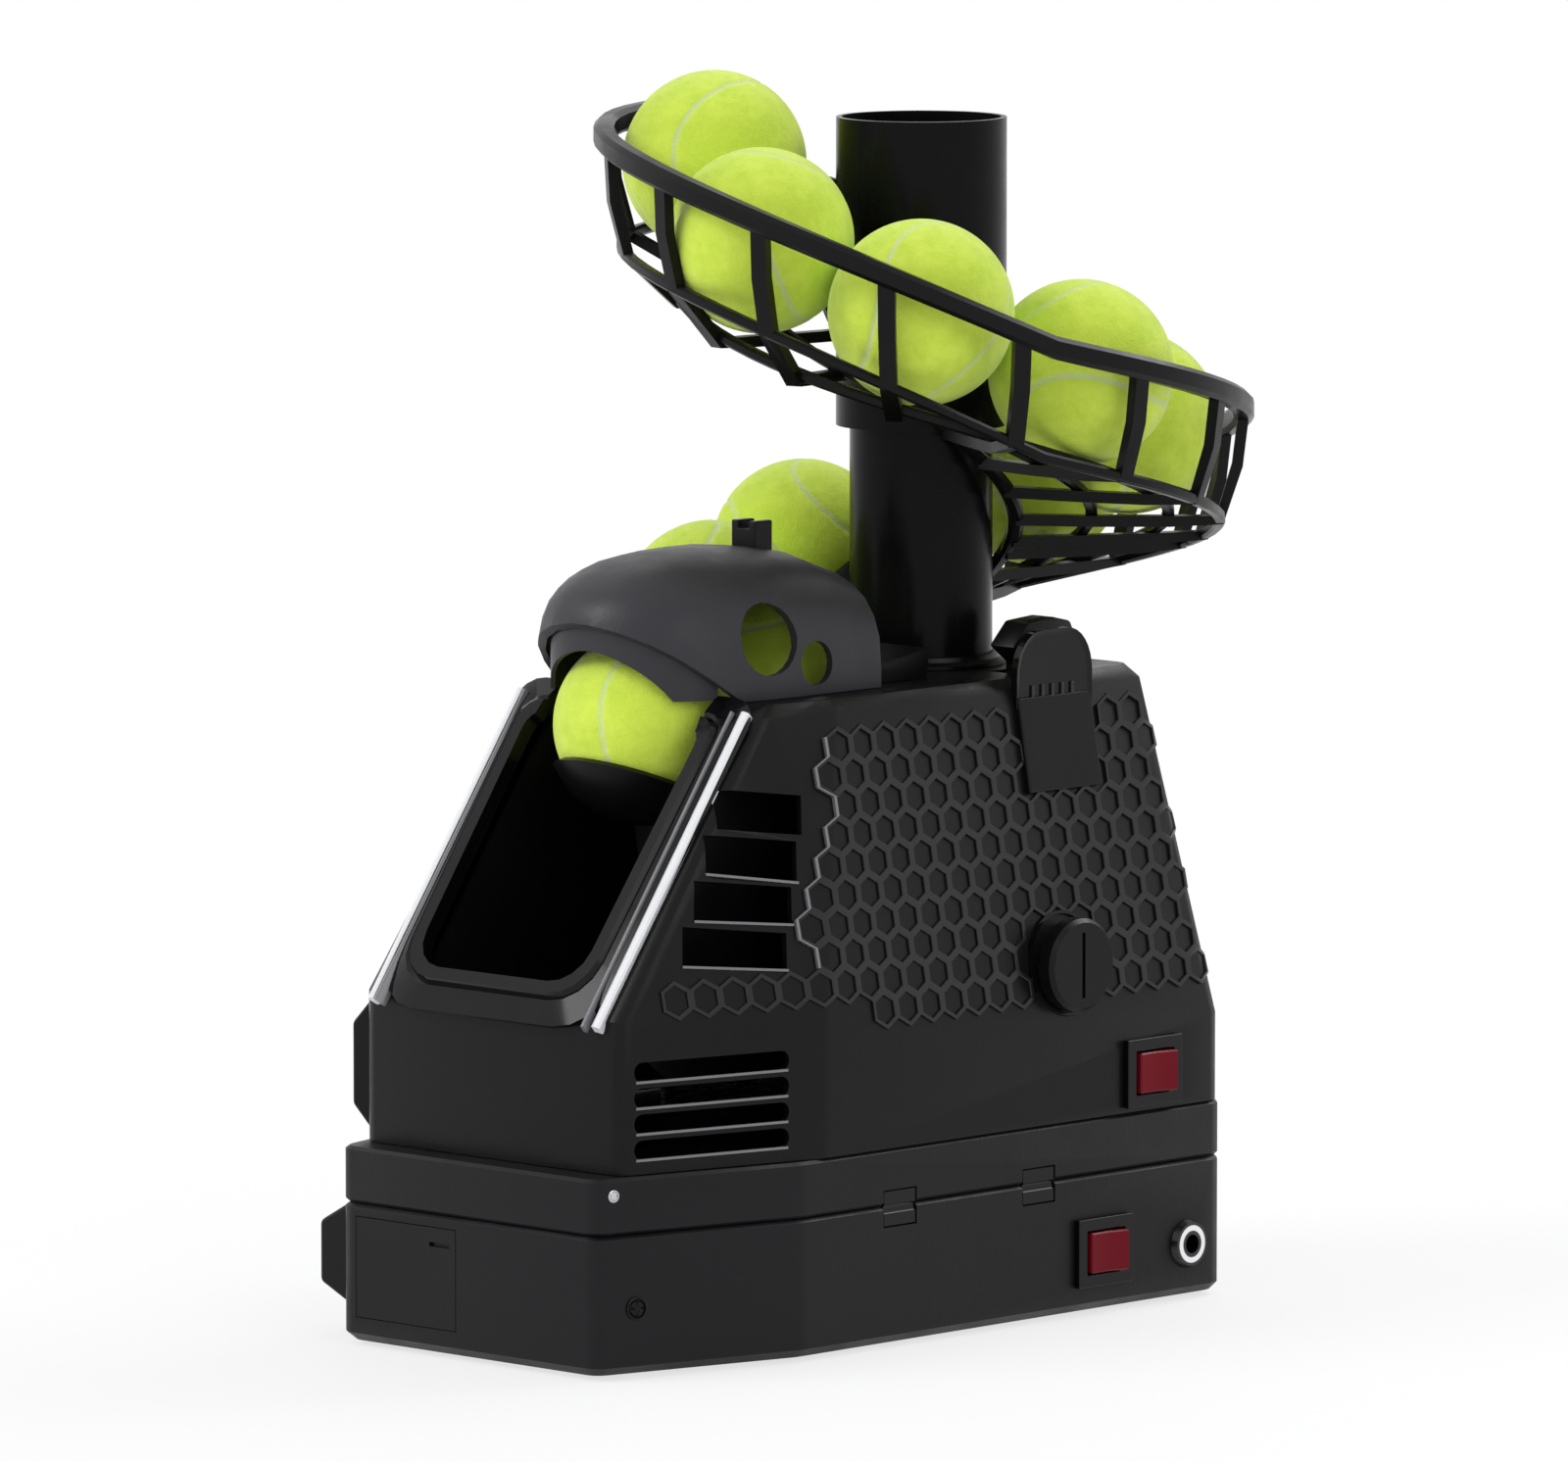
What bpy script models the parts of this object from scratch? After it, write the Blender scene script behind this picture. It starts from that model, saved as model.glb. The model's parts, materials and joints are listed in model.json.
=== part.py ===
"""Table-top ball machine: battery base, sloped housing with a throwing arm, and a spiral ball basket.

Metres, +Z up. The throwing mouth faces -Y and the control side faces +X. The origin is on the
ground under the middle of the outline, which runs from the base's front to the basket's rear.
"""

import math

import bmesh
import bpy
from mathutils import Matrix, Vector

# Fits and walls
GAP = 0.0003
WALL = 0.0028
LINER_WALL = 0.0024

# Base
FOOT_HEIGHT = 0.0015
FOOT_RADIUS = 0.009
BASE_LENGTH = 0.307
BASE_FRONT_HALF = 0.064
BASE_HALF = 0.085
FACET_SETBACK = 0.083
TRAY_TOP = 0.051
TRAY_CHAMFER = 0.0030
SKIRT_TOP = 0.0715
DECK_THICKNESS = 0.0035
BASE_FRONT_ROUND = 0.007
BASE_REAR_ROUND = 0.009

# Lever that sets the throw
LEVER_X = 0.045
LEVER_SETBACK = 0.245
LEVER_SLOT = 0.014
LEVER_SLOT_LENGTH = 0.033

# Base fittings
SCREW_RADIUS = 0.0020
SCREW_HEAD_RADIUS = 0.0038
SCREW_HEAD = 0.0028
SCREW_SINK = 0.0060
SCREW_POST_RADIUS = 0.0060
SCREW_INSET = 0.017
SCREW_FRONT_X = BASE_FRONT_HALF - 0.014
SCREW_FRONT_SETBACK = 0.018
SCREW_REAR_X = BASE_HALF - SCREW_INSET
SCREW_REAR_SETBACK = BASE_LENGTH - 0.026
SCREW_PLACES = tuple(
    (side * x, setback)
    for x, setback in ((SCREW_FRONT_X, SCREW_FRONT_SETBACK), (SCREW_REAR_X, SCREW_REAR_SETBACK))
    for side in (1, -1)
)
LATCH_SETBACKS = (0.1330, 0.2056)
LATCH_WIDTH = 0.016
LATCH_HEIGHT = 0.007
LATCH_DEPTH = 0.0025
LATCH_HOOK = 0.005
SCREW_BITE = 0.012
FOOT_PLACES = (
    ("front_right_foot", 0.042, 0.040),
    ("front_left_foot", -0.042, 0.040),
    ("rear_right_foot", 0.062, 0.245),
    ("rear_left_foot", -0.062, 0.245),
)
DOOR_WIDTH = 0.050
DOOR_HEIGHT = 0.036
DOOR_CENTRE = -0.031
DOOR_MIDDLE = 0.0285

# Housing
HOUSING_SETBACK = 0.012
KNEE_FRONT = 0.126
KNEE_FACET = 0.116
KNEE_REAR = 0.104
HOUSING_TOP = 0.231
TOP_SETBACK = 0.0885
TOP_FRONT_HALF = 0.060
TOP_FACET_HALF = 0.064
TOP_FACET_SETBACK = 0.122
TOP_REAR_HALF = 0.061
TOP_REAR_INSET = 0.019
TOP_ROUND = 0.004
HOUSING_REAR_INSET = 0.002
HOUSING_REAR_ROUND = 0.008

# Mouth
MOUTH_LOW_HALF = 0.041
MOUTH_HIGH_HALF = 0.043
MOUTH_SILL = 0.010
MOUTH_HEIGHT = 0.106
MOUTH_ROUND = 0.014
FRAME_BORDER = 0.0155
FRAME_PROUD = 0.006
FRAME_LAND = 0.004
FRAME_EDGE = 0.002

# Vents
VENT_PITCH = 0.0165
VENT_SLAT = 0.0024
UPPER_VENTS = 4
UPPER_VENT_FOOT = 0.020
UPPER_VENT_LEFT = 0.018
UPPER_VENT_RIGHT = 0.066
UPPER_VENT_LEAN = 0.30
LOWER_VENTS = 4
LOWER_VENT_PITCH = 0.0092
LOWER_VENT_SLAT = 0.0022
LOWER_VENT_FOOT = 0.004
LOWER_VENT_LEFT = 0.006
LOWER_VENT_RIGHT = 0.070

# Ball and its spiral
BALL_RADIUS = 0.0335
BALL_PITCH = 0.1735
BALL_GAP = 0.0005
BALL_START = math.radians(215.0)
BALL_START_HEIGHT = 0.4125
BASKET_BALLS = 6
CHUTE_BALLS = 3

# Post and hub
POST_SETBACK = 0.2335
POST_RADIUS = 0.026
POST_WALL = 0.003
POST_TOP = 0.400
POST_SOCKET = 0.022
COLLAR_RADIUS = 0.0308
COLLAR_HEIGHT = 0.004
HUB_RADIUS = 0.031
HUB_BOTTOM = 0.318
HUB_TOP = 0.430
HUB_SHOULDER = 0.003
HUB_LIP = 0.002

# Basket
HUB_ROOM = 0.0115
RAIL_ROOM = 0.004
RAIL_WIDTH = 0.0075
WALL_TUCK = 0.005
BALL_SEAT = 0.0008
BALL_TURN_RADIUS = HUB_RADIUS + HUB_ROOM + BALL_RADIUS
RAIL_OUTER = BALL_TURN_RADIUS + BALL_RADIUS + RAIL_ROOM + RAIL_WIDTH
WALL_FOOT_RADIUS = RAIL_OUTER - RAIL_WIDTH - WALL_TUCK
RAIL_HEIGHT = 0.0085
BASKET_DEPTH = 0.040
RIB_STEP = math.radians(24.0)
UPPER_BAYS = 10
LOWER_BAYS = 3
BASKET_LEAD = math.radians(27.5)
RIB_WIDTH = 0.0062
RIB_THICKNESS = 0.0040
START_LIFT = 0.020
START_TUCK = 0.003
START_LIFT_SPAN = math.radians(150.0)
RAIL_RISE = 0.0015
ROD_WIDTH = 0.0042
FLOOR_RAIL_OFFSET = 0.014
INNER_RAIL_RADIUS = 0.0345
INNER_RAIL_WIDTH = 0.0055
RIB_BOW = 0.002
PLATE_SKIRT = 0.003
PLATE_DIP = 0.020
PLATE_ROOT = 0.020
PLATE_THICK = 0.0025
RIB_SAG = 0.0004
RIB_INSET = math.radians(5.0)

# Feed chute
CHUTE_FALL = 0.120
CHUTE_END = math.radians(630.0)
CHUTE_CLEARANCE = 0.0035
CHUTE_WALL = 0.0022
CHUTE_FRONT = 0.131
CHUTE_REAR = 0.196
TUNNEL_FRONT = 0.050
PIPE_SIDES = 22

# Hood
HOOD_HALF = 0.0480
HOOD_WALL = 0.0025
HOOD_NOSE = 0.0560
HOOD_FULL = 0.1180
HOOD_PEAK = 0.1300
HOOD_REAR = 0.1620
HOOD_NOSE_HEIGHT = 0.2535
HOOD_CROWN = 0.2815
HOOD_DROOP = 0.0080
HOOD_ROUND = 2.4
HOOD_RINGS = 10
HOOD_FIRST_RING = 0.0006
HOOD_CROWDING = 1.6
HOOD_STEPS = 14
HOOD_SPRING = 0.15
HOOD_SQUARE = 0.75
BROW_SETBACK = 0.0920
BROW_LIFT = 0.0010
BROW_SLOPE = 0.75
HOOD_HOLES = ((0.1066, 0.2525, 0.0130), (0.1290, 0.2425, 0.0080))

# Throwing mechanism
ARM_PIVOT_SETBACK = 0.108
ARM_PIVOT_HEIGHT = 0.114
THROWN_HEIGHT = 0.220
CUP_WALL = 0.0026
CUP_REACH = math.radians(52.0)
CUP_TILT = math.radians(22.0)
ARM_WIDTH = 0.014
ARM_DEPTH = 0.010
ARM_HUB_RADIUS = 0.009
ARM_HUB_WIDTH = 0.026
SHAFT_RADIUS = 0.004
BAY_HALF = 0.044
GEAR_TEETH = 40
PINION_TEETH = 12
TOOTH_MODULE = 0.00125
GEAR_WIDTH = 0.008
GEAR_SETBACK = 0.168
CUP_STEPS = 6
BAY_FRONT = 0.0185
BAY_LIP = 0.1275
BAY_NOSE = 0.060
BAY_FLOOR = 0.094
BAY_REAR = 0.150
BAY_TOP = 0.2225
BAY_HEAD = 0.0870
BAY_GATE = 0.186
BUSH_RADIUS = 0.007
BUSH_LENGTH = 0.008
BUSH_X = 0.0425
CRANK_X = -0.064
CRANK_HUB = 0.008
CRANK_WIDTH = 0.004
SHAFT_LEFT = CRANK_X - 0.003
SHAFT_RIGHT = BUSH_X + 0.0075
SHAFT_MIDDLE = (SHAFT_LEFT + SHAFT_RIGHT) / 2
SHAFT_LENGTH = SHAFT_RIGHT - SHAFT_LEFT
CRANK_DEPTH = 0.007
CRANK_REACH = 0.036
SPRING_WIRE = 0.0009
SPRING_GAP = 0.0006
SPRING_TURNS = 4
SPRING_POINTS = 10
SPRING_RADIUS = 0.007
SPRING_LEG = 0.012
SPRING_X = -0.0477
GEAR_X = -0.056
GEAR_PIN = 0.003
GEAR_PIN_LENGTH = 0.007
GEAR_PIN_OFFSET = 0.018
AXLE_RADIUS = 0.003
AXLE_X = -0.0535
AXLE_LENGTH = 0.015
MOTOR_RADIUS = 0.018
MOTOR_SHAFT = 0.0016
MOTOR_FRONT = -0.0467
MOTOR_REAR = 0.010
PLATE_X = -0.048
PLATE_WIDTH = 0.002
PLATE_MARGIN = 0.020
BOARD_X = 0.062
BOARD_SETBACK = 0.200
BOARD_THICKNESS = 0.0016
BOARD_LENGTH = 0.080
BOARD_HEIGHT = 0.030
CELL_RADIUS = 0.0165
CELL_LENGTH = 0.061
CELL_ROWS = 4
CELL_PITCH = 0.0335
CELL_SETBACK = 0.075
STRAP_WIDTH = 0.012
STRAP_HEIGHT = 0.006

# Controls
ROCKER_LENGTH = 0.0205
ROCKER_HEIGHT = 0.0165
ROCKER_TILT = math.radians(7.0)
POWER_SETBACK = 0.2650
POWER_HEIGHT = 0.0860
PACK_SETBACK = 0.2390
PACK_HEIGHT = 0.0230
DIAL_SETBACK = 0.2225
DIAL_HEIGHT = 0.1290
DIAL_RADIUS = 0.017
DIAL_LENGTH = 0.010
JACK_SETBACK = 0.2850
JACK_HEIGHT = 0.0205
JACK_RADIUS = 0.010
JACK_BARREL = 0.0065
SWITCH_DEPTH = 0.016
SWITCH_WELL = 0.011
ROCKER_CROWN = 0.0045
ROCKER_DISH = 0.0012
ROCKER_BELLY = 0.0045
DIAL_SOFT = 0.0015
DIAL_STAND = 0.0035
DIAL_REACH = 0.012
DIAL_MARK = 0.0016
POT_INSET = 0.006
POT_LENGTH = 0.009
POT_RADIUS = 0.008
JACK_STAND = 0.0026
JACK_DEPTH = 0.009
JACK_BORE = 0.0035
LEVER_TOP = 0.019
LEVER_DROP = 0.035
LEVER_FOOT = 0.0085
LEVER_HEAD = 0.017
FLANGE = 0.0022
FLANGE_EDGE = 0.0020
DIAL_STEM = 0.0035

OUTLINE_LENGTH = POST_SETBACK + RAIL_OUTER
FRONT_Y = -OUTLINE_LENGTH / 2
POST_Y = FRONT_Y + POST_SETBACK
CORNER_STEPS = 3


def back(setback):
    """World Y of a distance measured back from the front of the base."""
    return FRONT_Y + setback


# Scene set-up

for leftover in list(bpy.data.objects):
    bpy.data.objects.remove(leftover, do_unlink=True)

PARTS = bpy.data.collections.new("ball_machine")
CUTTERS = bpy.data.collections.new("ball_machine_cutters")
CUTTERS.hide_render = True
for group in (PARTS, CUTTERS):
    bpy.context.scene.collection.children.link(group)


def material(name, colour, roughness, metallic=0.0):
    made = bpy.data.materials.new(name)
    made.use_nodes = True
    shader = made.node_tree.nodes["Principled BSDF"]
    shader.inputs["Base Color"].default_value = (*colour, 1.0)
    shader.inputs["Roughness"].default_value = roughness
    shader.inputs["Metallic"].default_value = metallic
    return made


BODY_BLACK = material("body_black", (0.030, 0.030, 0.033), 0.38)
GLOSS_BLACK = material("gloss_black", (0.012, 0.012, 0.013), 0.12)
HOOD_GREY = material("hood_grey", (0.055, 0.054, 0.062), 0.50)
TUBE_BLACK = material("tube_black", (0.022, 0.022, 0.026), 0.35)
BASKET_BLACK = material("basket_black", (0.018, 0.018, 0.019), 0.40)
FELT = material("ball_felt", (0.62, 0.80, 0.10), 0.95)
SWITCH_RED = material("switch_red", (0.55, 0.02, 0.03), 0.30)
STEEL = material("steel", (0.60, 0.60, 0.60), 0.30, 1.0)
BRASS = material("brass", (0.70, 0.52, 0.22), 0.35, 1.0)
NYLON = material("nylon", (0.75, 0.74, 0.70), 0.45)
RUBBER = material("rubber", (0.02, 0.02, 0.02), 0.85)
BOARD_GREEN = material("board_green", (0.02, 0.20, 0.07), 0.45)
CELL_BLUE = material("cell_blue", (0.03, 0.10, 0.35), 0.40)


# Making and cutting meshes

def finish_object(name, shape, look, group=PARTS, smooth=False):
    bmesh.ops.recalc_face_normals(shape, faces=shape.faces)
    mesh = bpy.data.meshes.new(name)
    shape.to_mesh(mesh)
    shape.free()
    made = bpy.data.objects.new(name, mesh)
    group.objects.link(made)
    if look:
        mesh.materials.append(look)
    if smooth:
        mesh.shade_smooth()
        mesh.set_sharp_from_angle(angle=math.radians(35))
    return made


def helper(name, shape):
    made = finish_object(name, shape, None, CUTTERS)
    made.hide_render = True
    made.display_type = "WIRE"
    return made


def add_box(shape, centre, size, turn=Matrix.Identity(4)):
    place = Matrix.Translation(centre) @ turn @ Matrix.Diagonal((*size, 1.0))
    bmesh.ops.create_cube(shape, size=1.0, matrix=place)


AXIS_TURNS = {
    "X": Matrix.Rotation(math.pi / 2, 4, "Y"),
    "Y": Matrix.Rotation(-math.pi / 2, 4, "X"),
    "Z": Matrix.Identity(4),
}


def add_rod(shape, centre, radius, length, axis="X", sides=24, turn=None, radius_2=None):
    place = Matrix.Translation(centre) @ (turn or AXIS_TURNS[axis])
    end = radius if radius_2 is None else radius_2
    bmesh.ops.create_cone(
        shape, cap_ends=True, segments=sides, radius1=radius, radius2=end, depth=length, matrix=place
    )


def box(name, centre, size, look, edge=0.0):
    shape = bmesh.new()
    add_box(shape, centre, size)
    made = finish_object(name, shape, look)
    if edge:
        round_edges(made, edge)
    return made


def rod(name, centre, radius, length, look, axis="X", sides=24):
    shape = bmesh.new()
    add_rod(shape, centre, radius, length, axis, sides)
    return finish_object(name, shape, look, smooth=True)


def round_edges(made, width, segments=2, angle=35):
    soften = made.modifiers.new("edges", "BEVEL")
    soften.width = width
    soften.segments = segments
    soften.limit_method = "ANGLE"
    soften.angle_limit = math.radians(angle)
    return made


def boolean(made, other, operation):
    change = made.modifiers.new(other.name, "BOOLEAN")
    change.operation = operation
    change.object = other
    change.solver = "EXACT"
    return made


def cut(made, name, shape):
    return boolean(made, helper(name, shape), "DIFFERENCE")


def join(made, name, shape):
    return boolean(made, helper(name, shape), "UNION")


def add_prism(shape, outline, low, high, place=Matrix.Identity(4)):
    """A flat outline in the local XY plane, extruded along local Z."""
    corners = [shape.verts.new(place @ Vector((x, y, low))) for x, y in outline]
    face = shape.faces.new(corners)
    grown = bmesh.ops.extrude_face_region(shape, geom=[face])
    moved = [item for item in grown["geom"] if isinstance(item, bmesh.types.BMVert)]
    offset = place.to_3x3() @ Vector((0, 0, high - low))
    bmesh.ops.translate(shape, verts=moved, vec=offset)


def add_loft(shape, rings):
    """Closed skin through rings that have the same number of points, with a face on each end."""
    rows = [[shape.verts.new(point) for point in ring] for ring in rings]
    for first, second in zip(rows, rows[1:]):
        for index in range(len(first)):
            after = (index + 1) % len(first)
            shape.faces.new((first[index], first[after], second[after], second[index]))
    shape.faces.new(rows[0])
    shape.faces.new(list(reversed(rows[-1])))


def rounded(corners, radii, steps=CORNER_STEPS):
    """A flat outline with each corner replaced by an arc."""
    outline = []
    count = len(corners)
    for index, (x, y) in enumerate(corners):
        here = Vector((x, y))
        to_last = (Vector(corners[index - 1]) - here).normalized()
        to_next = (Vector(corners[(index + 1) % count]) - here).normalized()
        half = to_last.angle(to_next) / 2
        radius = radii[index]
        reach = radius / math.tan(half)
        centre = here + (to_last + to_next).normalized() * radius / math.sin(half)
        start = here + to_last * reach - centre
        finish = here + to_next * reach - centre
        sweep = start.angle_signed(finish)
        for step in range(steps + 1):
            spoke = start.copy()
            spoke.rotate(Matrix.Rotation(-sweep * step / steps, 2))
            outline.append(tuple(centre + spoke))
    return outline


def mirrored(right_side):
    """Corners of a symmetric outline from its right side, listed front to back."""
    return right_side + [(-x, y) for x, y in reversed(right_side)]


def turned(name, profile, look, centre, axis="Z", steps=32):
    """A profile of (radius, height) points, outer side from top to bottom, spun about an axis.

    A profile that starts on the axis ends there too. Any other is a closed ring.
    """
    shape = bmesh.new()
    points = [shape.verts.new((radius, 0, height)) for radius, height in profile]
    follow = points[1:] if profile[0][0] == 0 else points[1:] + points[:1]
    for first, second in zip(points, follow):
        shape.edges.new((first, second))
    mesh = bpy.data.meshes.new(name)
    shape.to_mesh(mesh)
    shape.free()
    made = bpy.data.objects.new(name, mesh)
    PARTS.objects.link(made)
    made.location = centre
    made.rotation_euler = AXIS_TURNS[axis].to_euler()
    spin = made.modifiers.new("turn", "SCREW")
    spin.steps = steps
    spin.render_steps = steps
    spin.use_merge_vertices = True
    spin.merge_threshold = 0.00005
    mesh.materials.append(look)
    return made


def plane_frame(origin, along, up):
    """Matrix whose X runs along, whose Y runs up the face and whose Z points out of it."""
    x_axis = (along - origin).normalized()
    z_axis = x_axis.cross(up - origin).normalized()
    y_axis = z_axis.cross(x_axis)
    turn = Matrix((x_axis, y_axis, z_axis)).transposed().to_4x4()
    return Matrix.Translation(origin) @ turn


# Base outline

def base_corners(inset=0.0):
    return mirrored([
        (BASE_FRONT_HALF - inset, back(inset)),
        (BASE_HALF - inset, back(FACET_SETBACK)),
        (BASE_HALF - inset, back(BASE_LENGTH - inset)),
    ])


def base_ring(height, inset=0.0):
    side = [BASE_FRONT_ROUND - inset / 2, 0.02, BASE_REAR_ROUND - inset]
    outline = rounded(base_corners(inset), side + side[::-1])
    return [(x, y, height) for x, y in outline]


TRAY_BOTTOM = FOOT_HEIGHT
TRAY_FLOOR = TRAY_BOTTOM + WALL
SKIRT_BOTTOM = TRAY_TOP + GAP
DECK_TOP = SKIRT_TOP
DECK_BOTTOM = DECK_TOP - DECK_THICKNESS
HOUSING_BOTTOM = SKIRT_TOP + GAP
SEAM = 0.0012


def switch_hole(setback, height):
    """Place and size of the wall opening that a rocker switch's frame plugs into."""
    size = (8 * WALL, ROCKER_LENGTH + 2 * FLANGE_EDGE, ROCKER_HEIGHT + 2 * FLANGE_EDGE)
    return (BASE_HALF, back(setback), height), size


def make_tray():
    shape = bmesh.new()
    add_loft(shape, [
        base_ring(TRAY_BOTTOM, TRAY_CHAMFER),
        base_ring(TRAY_BOTTOM + TRAY_CHAMFER),
        base_ring(TRAY_TOP - SEAM),
        base_ring(TRAY_TOP, SEAM),
    ])
    tray = finish_object("battery_tray", shape, BODY_BLACK)
    hollow = bmesh.new()
    add_loft(hollow, [
        base_ring(TRAY_FLOOR, WALL + TRAY_CHAMFER),
        base_ring(TRAY_FLOOR + TRAY_CHAMFER, WALL),
        base_ring(TRAY_TOP + WALL, WALL),
    ])
    cut(tray, "tray_hollow", hollow)
    posts = bmesh.new()
    for x, setback in SCREW_PLACES:
        low = TRAY_BOTTOM + WALL / 2
        high = TRAY_TOP - GAP
        add_rod(posts, (x, back(setback), (low + high) / 2), SCREW_POST_RADIUS, high - low, "Z", 12)
    join(tray, "tray_posts", posts)
    bores = bmesh.new()
    for x, setback in SCREW_PLACES:
        add_rod(bores, (x, back(setback), TRAY_TOP / 2), SCREW_RADIUS + GAP, 2 * TRAY_TOP, "Z", 12)
    cut(tray, "tray_screw_bores", bores)
    sinks = bmesh.new()
    for x, setback in SCREW_PLACES:
        add_rod(sinks, (x, back(setback), TRAY_BOTTOM), SCREW_HEAD_RADIUS + GAP, 2 * SCREW_SINK, "Z", 12)
    cut(tray, "tray_screw_sinks", sinks)
    openings = bmesh.new()
    add_box(openings, *switch_hole(PACK_SETBACK, PACK_HEIGHT))
    jack = (BASE_HALF, back(JACK_SETBACK), JACK_HEIGHT)
    add_rod(openings, jack, JACK_BARREL + GAP, 8 * WALL, "X", 20)
    door = (DOOR_CENTRE, back(0), DOOR_MIDDLE)
    add_box(openings, door, (DOOR_WIDTH + 2 * GAP, 4 * WALL, DOOR_HEIGHT + 2 * GAP))
    cut(tray, "tray_openings", openings)
    pockets = bmesh.new()
    for setback in LATCH_SETBACKS:
        place = (BASE_HALF, back(setback), TRAY_TOP)
        add_box(pockets, place, (2 * LATCH_DEPTH, LATCH_WIDTH + 4 * GAP, 2 * LATCH_HEIGHT + 4 * GAP))
    return cut(tray, "tray_latch_pockets", pockets)


def make_door():
    """Flush door in the front wall of the base, hung on a pin at its outer edge."""
    edge = DOOR_CENTRE - DOOR_WIDTH / 2
    shape = bmesh.new()
    add_box(shape, (DOOR_CENTRE, back(WALL / 2), DOOR_MIDDLE), (DOOR_WIDTH, WALL, DOOR_HEIGHT))
    door = finish_object("battery_door", shape, BODY_BLACK)
    grip = bmesh.new()
    add_box(
        grip,
        (DOOR_CENTRE + DOOR_WIDTH / 2 - 0.008, back(0), DOOR_MIDDLE + DOOR_HEIGHT / 2 - 0.006),
        (0.010, WALL, 0.0016),
    )
    cut(door, "door_grip", grip)
    return door, (edge, back(WALL / 2))


def make_skirt():
    """Band between the two seams, with the deck that carries the mechanism."""
    shape = bmesh.new()
    add_loft(shape, [
        base_ring(SKIRT_BOTTOM, SEAM),
        base_ring(SKIRT_BOTTOM + SEAM),
        base_ring(SKIRT_TOP - SEAM),
        base_ring(SKIRT_TOP, SEAM),
    ])
    skirt = finish_object("chassis_deck", shape, BODY_BLACK)
    hollow = bmesh.new()
    add_loft(hollow, [base_ring(SKIRT_BOTTOM - WALL, WALL), base_ring(DECK_BOTTOM, WALL)])
    cut(skirt, "deck_hollow", hollow)
    bosses = bmesh.new()
    for x, setback in SCREW_PLACES:
        low = SKIRT_BOTTOM
        high = DECK_TOP - DECK_THICKNESS / 2
        add_rod(bosses, (x, back(setback), (low + high) / 2), SCREW_POST_RADIUS, high - low, "Z", 12)
    join(skirt, "deck_bosses", bosses)
    bores = bmesh.new()
    for x, setback in SCREW_PLACES:
        add_rod(bores, (x, back(setback), SKIRT_BOTTOM), SCREW_RADIUS + GAP, 2 * SCREW_BITE + 4 * GAP, "Z", 12)
    cut(skirt, "deck_bores", bores)
    pockets = bmesh.new()
    for setback in LATCH_SETBACKS:
        place = (BASE_HALF, back(setback), SKIRT_BOTTOM)
        add_box(pockets, place, (2 * LATCH_DEPTH, LATCH_WIDTH + 4 * GAP, 2 * LATCH_HOOK + 4 * GAP))
    return cut(skirt, "deck_latch_pockets", pockets)


def make_screws():
    for number, (x, setback) in enumerate(SCREW_PLACES, 1):
        seat = TRAY_BOTTOM + SCREW_SINK - GAP
        tip = SKIRT_BOTTOM + SCREW_BITE
        shape = bmesh.new()
        add_rod(shape, (x, back(setback), seat - SCREW_HEAD / 2), SCREW_HEAD_RADIUS, SCREW_HEAD, "Z", 16)
        screw = finish_object(f"base_screw_{number}", shape, STEEL, smooth=True)
        shank = bmesh.new()
        low = seat - SCREW_HEAD / 2
        add_rod(shank, (x, back(setback), (low + tip) / 2), SCREW_RADIUS, tip - low, "Z", 12)
        join(screw, f"screw_shank_{number}", shank)
        slot = bmesh.new()
        bottom = seat - SCREW_HEAD
        for turn in (0.0, math.pi / 2):
            spin = Matrix.Rotation(turn, 4, "Z")
            add_box(slot, (x, back(setback), bottom), (0.0042, 0.0010, 0.0024), spin)
            cut(screw, f"screw_cross_{number}_{turn > 0}", slot)
            slot = bmesh.new()
        slot.free()


def make_feet():
    for name, x, setback in FOOT_PLACES:
        turned(
            name,
            [
                (0.0, FOOT_HEIGHT - GAP),
                (FOOT_RADIUS, FOOT_HEIGHT - GAP),
                (FOOT_RADIUS, FOOT_HEIGHT / 3),
                (FOOT_RADIUS * 0.86, 0.0),
                (0.0, 0.0),
            ],
            RUBBER,
            (x, back(setback), 0.0),
            steps=20,
        )


def make_latches():
    """Spring tabs that hook over the seam and hold the base to the deck."""
    made = []
    for name, setback in zip(("front_latch", "rear_latch"), LATCH_SETBACKS):
        low = TRAY_TOP - LATCH_HEIGHT
        high = SKIRT_BOTTOM + LATCH_HOOK
        centre = (BASE_HALF - LATCH_DEPTH / 2, back(setback), (low + high) / 2)
        tab = box(name, centre, (LATCH_DEPTH - 2 * GAP, LATCH_WIDTH, high - low), BODY_BLACK)
        grip = bmesh.new()
        add_rod(grip, (BASE_HALF + 0.0012, back(setback), TRAY_TOP - 0.001), 0.0022, LATCH_WIDTH + 0.002, "Y", 16)
        cut(tab, f"{name}_grip", grip)
        made.append(tab)
    return made


# Housing

def side_corners(inset, level):
    """Right-hand corners of the housing's outline: 0 at its foot, 1 at its knee, 2 at its top."""
    if level < 2:
        heights = [(HOUSING_BOTTOM,) * 3, (KNEE_FRONT, KNEE_FACET, KNEE_REAR)][level]
        return [
            (BASE_FRONT_HALF - inset, back(HOUSING_SETBACK + inset), heights[0]),
            (BASE_HALF - inset, back(FACET_SETBACK + HOUSING_SETBACK), heights[1]),
            (BASE_HALF - inset, back(BASE_LENGTH - HOUSING_REAR_INSET - inset), heights[2]),
        ]
    return [
        (TOP_FRONT_HALF - inset, back(TOP_SETBACK + inset), HOUSING_TOP),
        (TOP_FACET_HALF - inset, back(TOP_FACET_SETBACK), HOUSING_TOP),
        (TOP_REAR_HALF - inset, back(BASE_LENGTH - TOP_REAR_INSET - inset), HOUSING_TOP),
    ]


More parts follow.
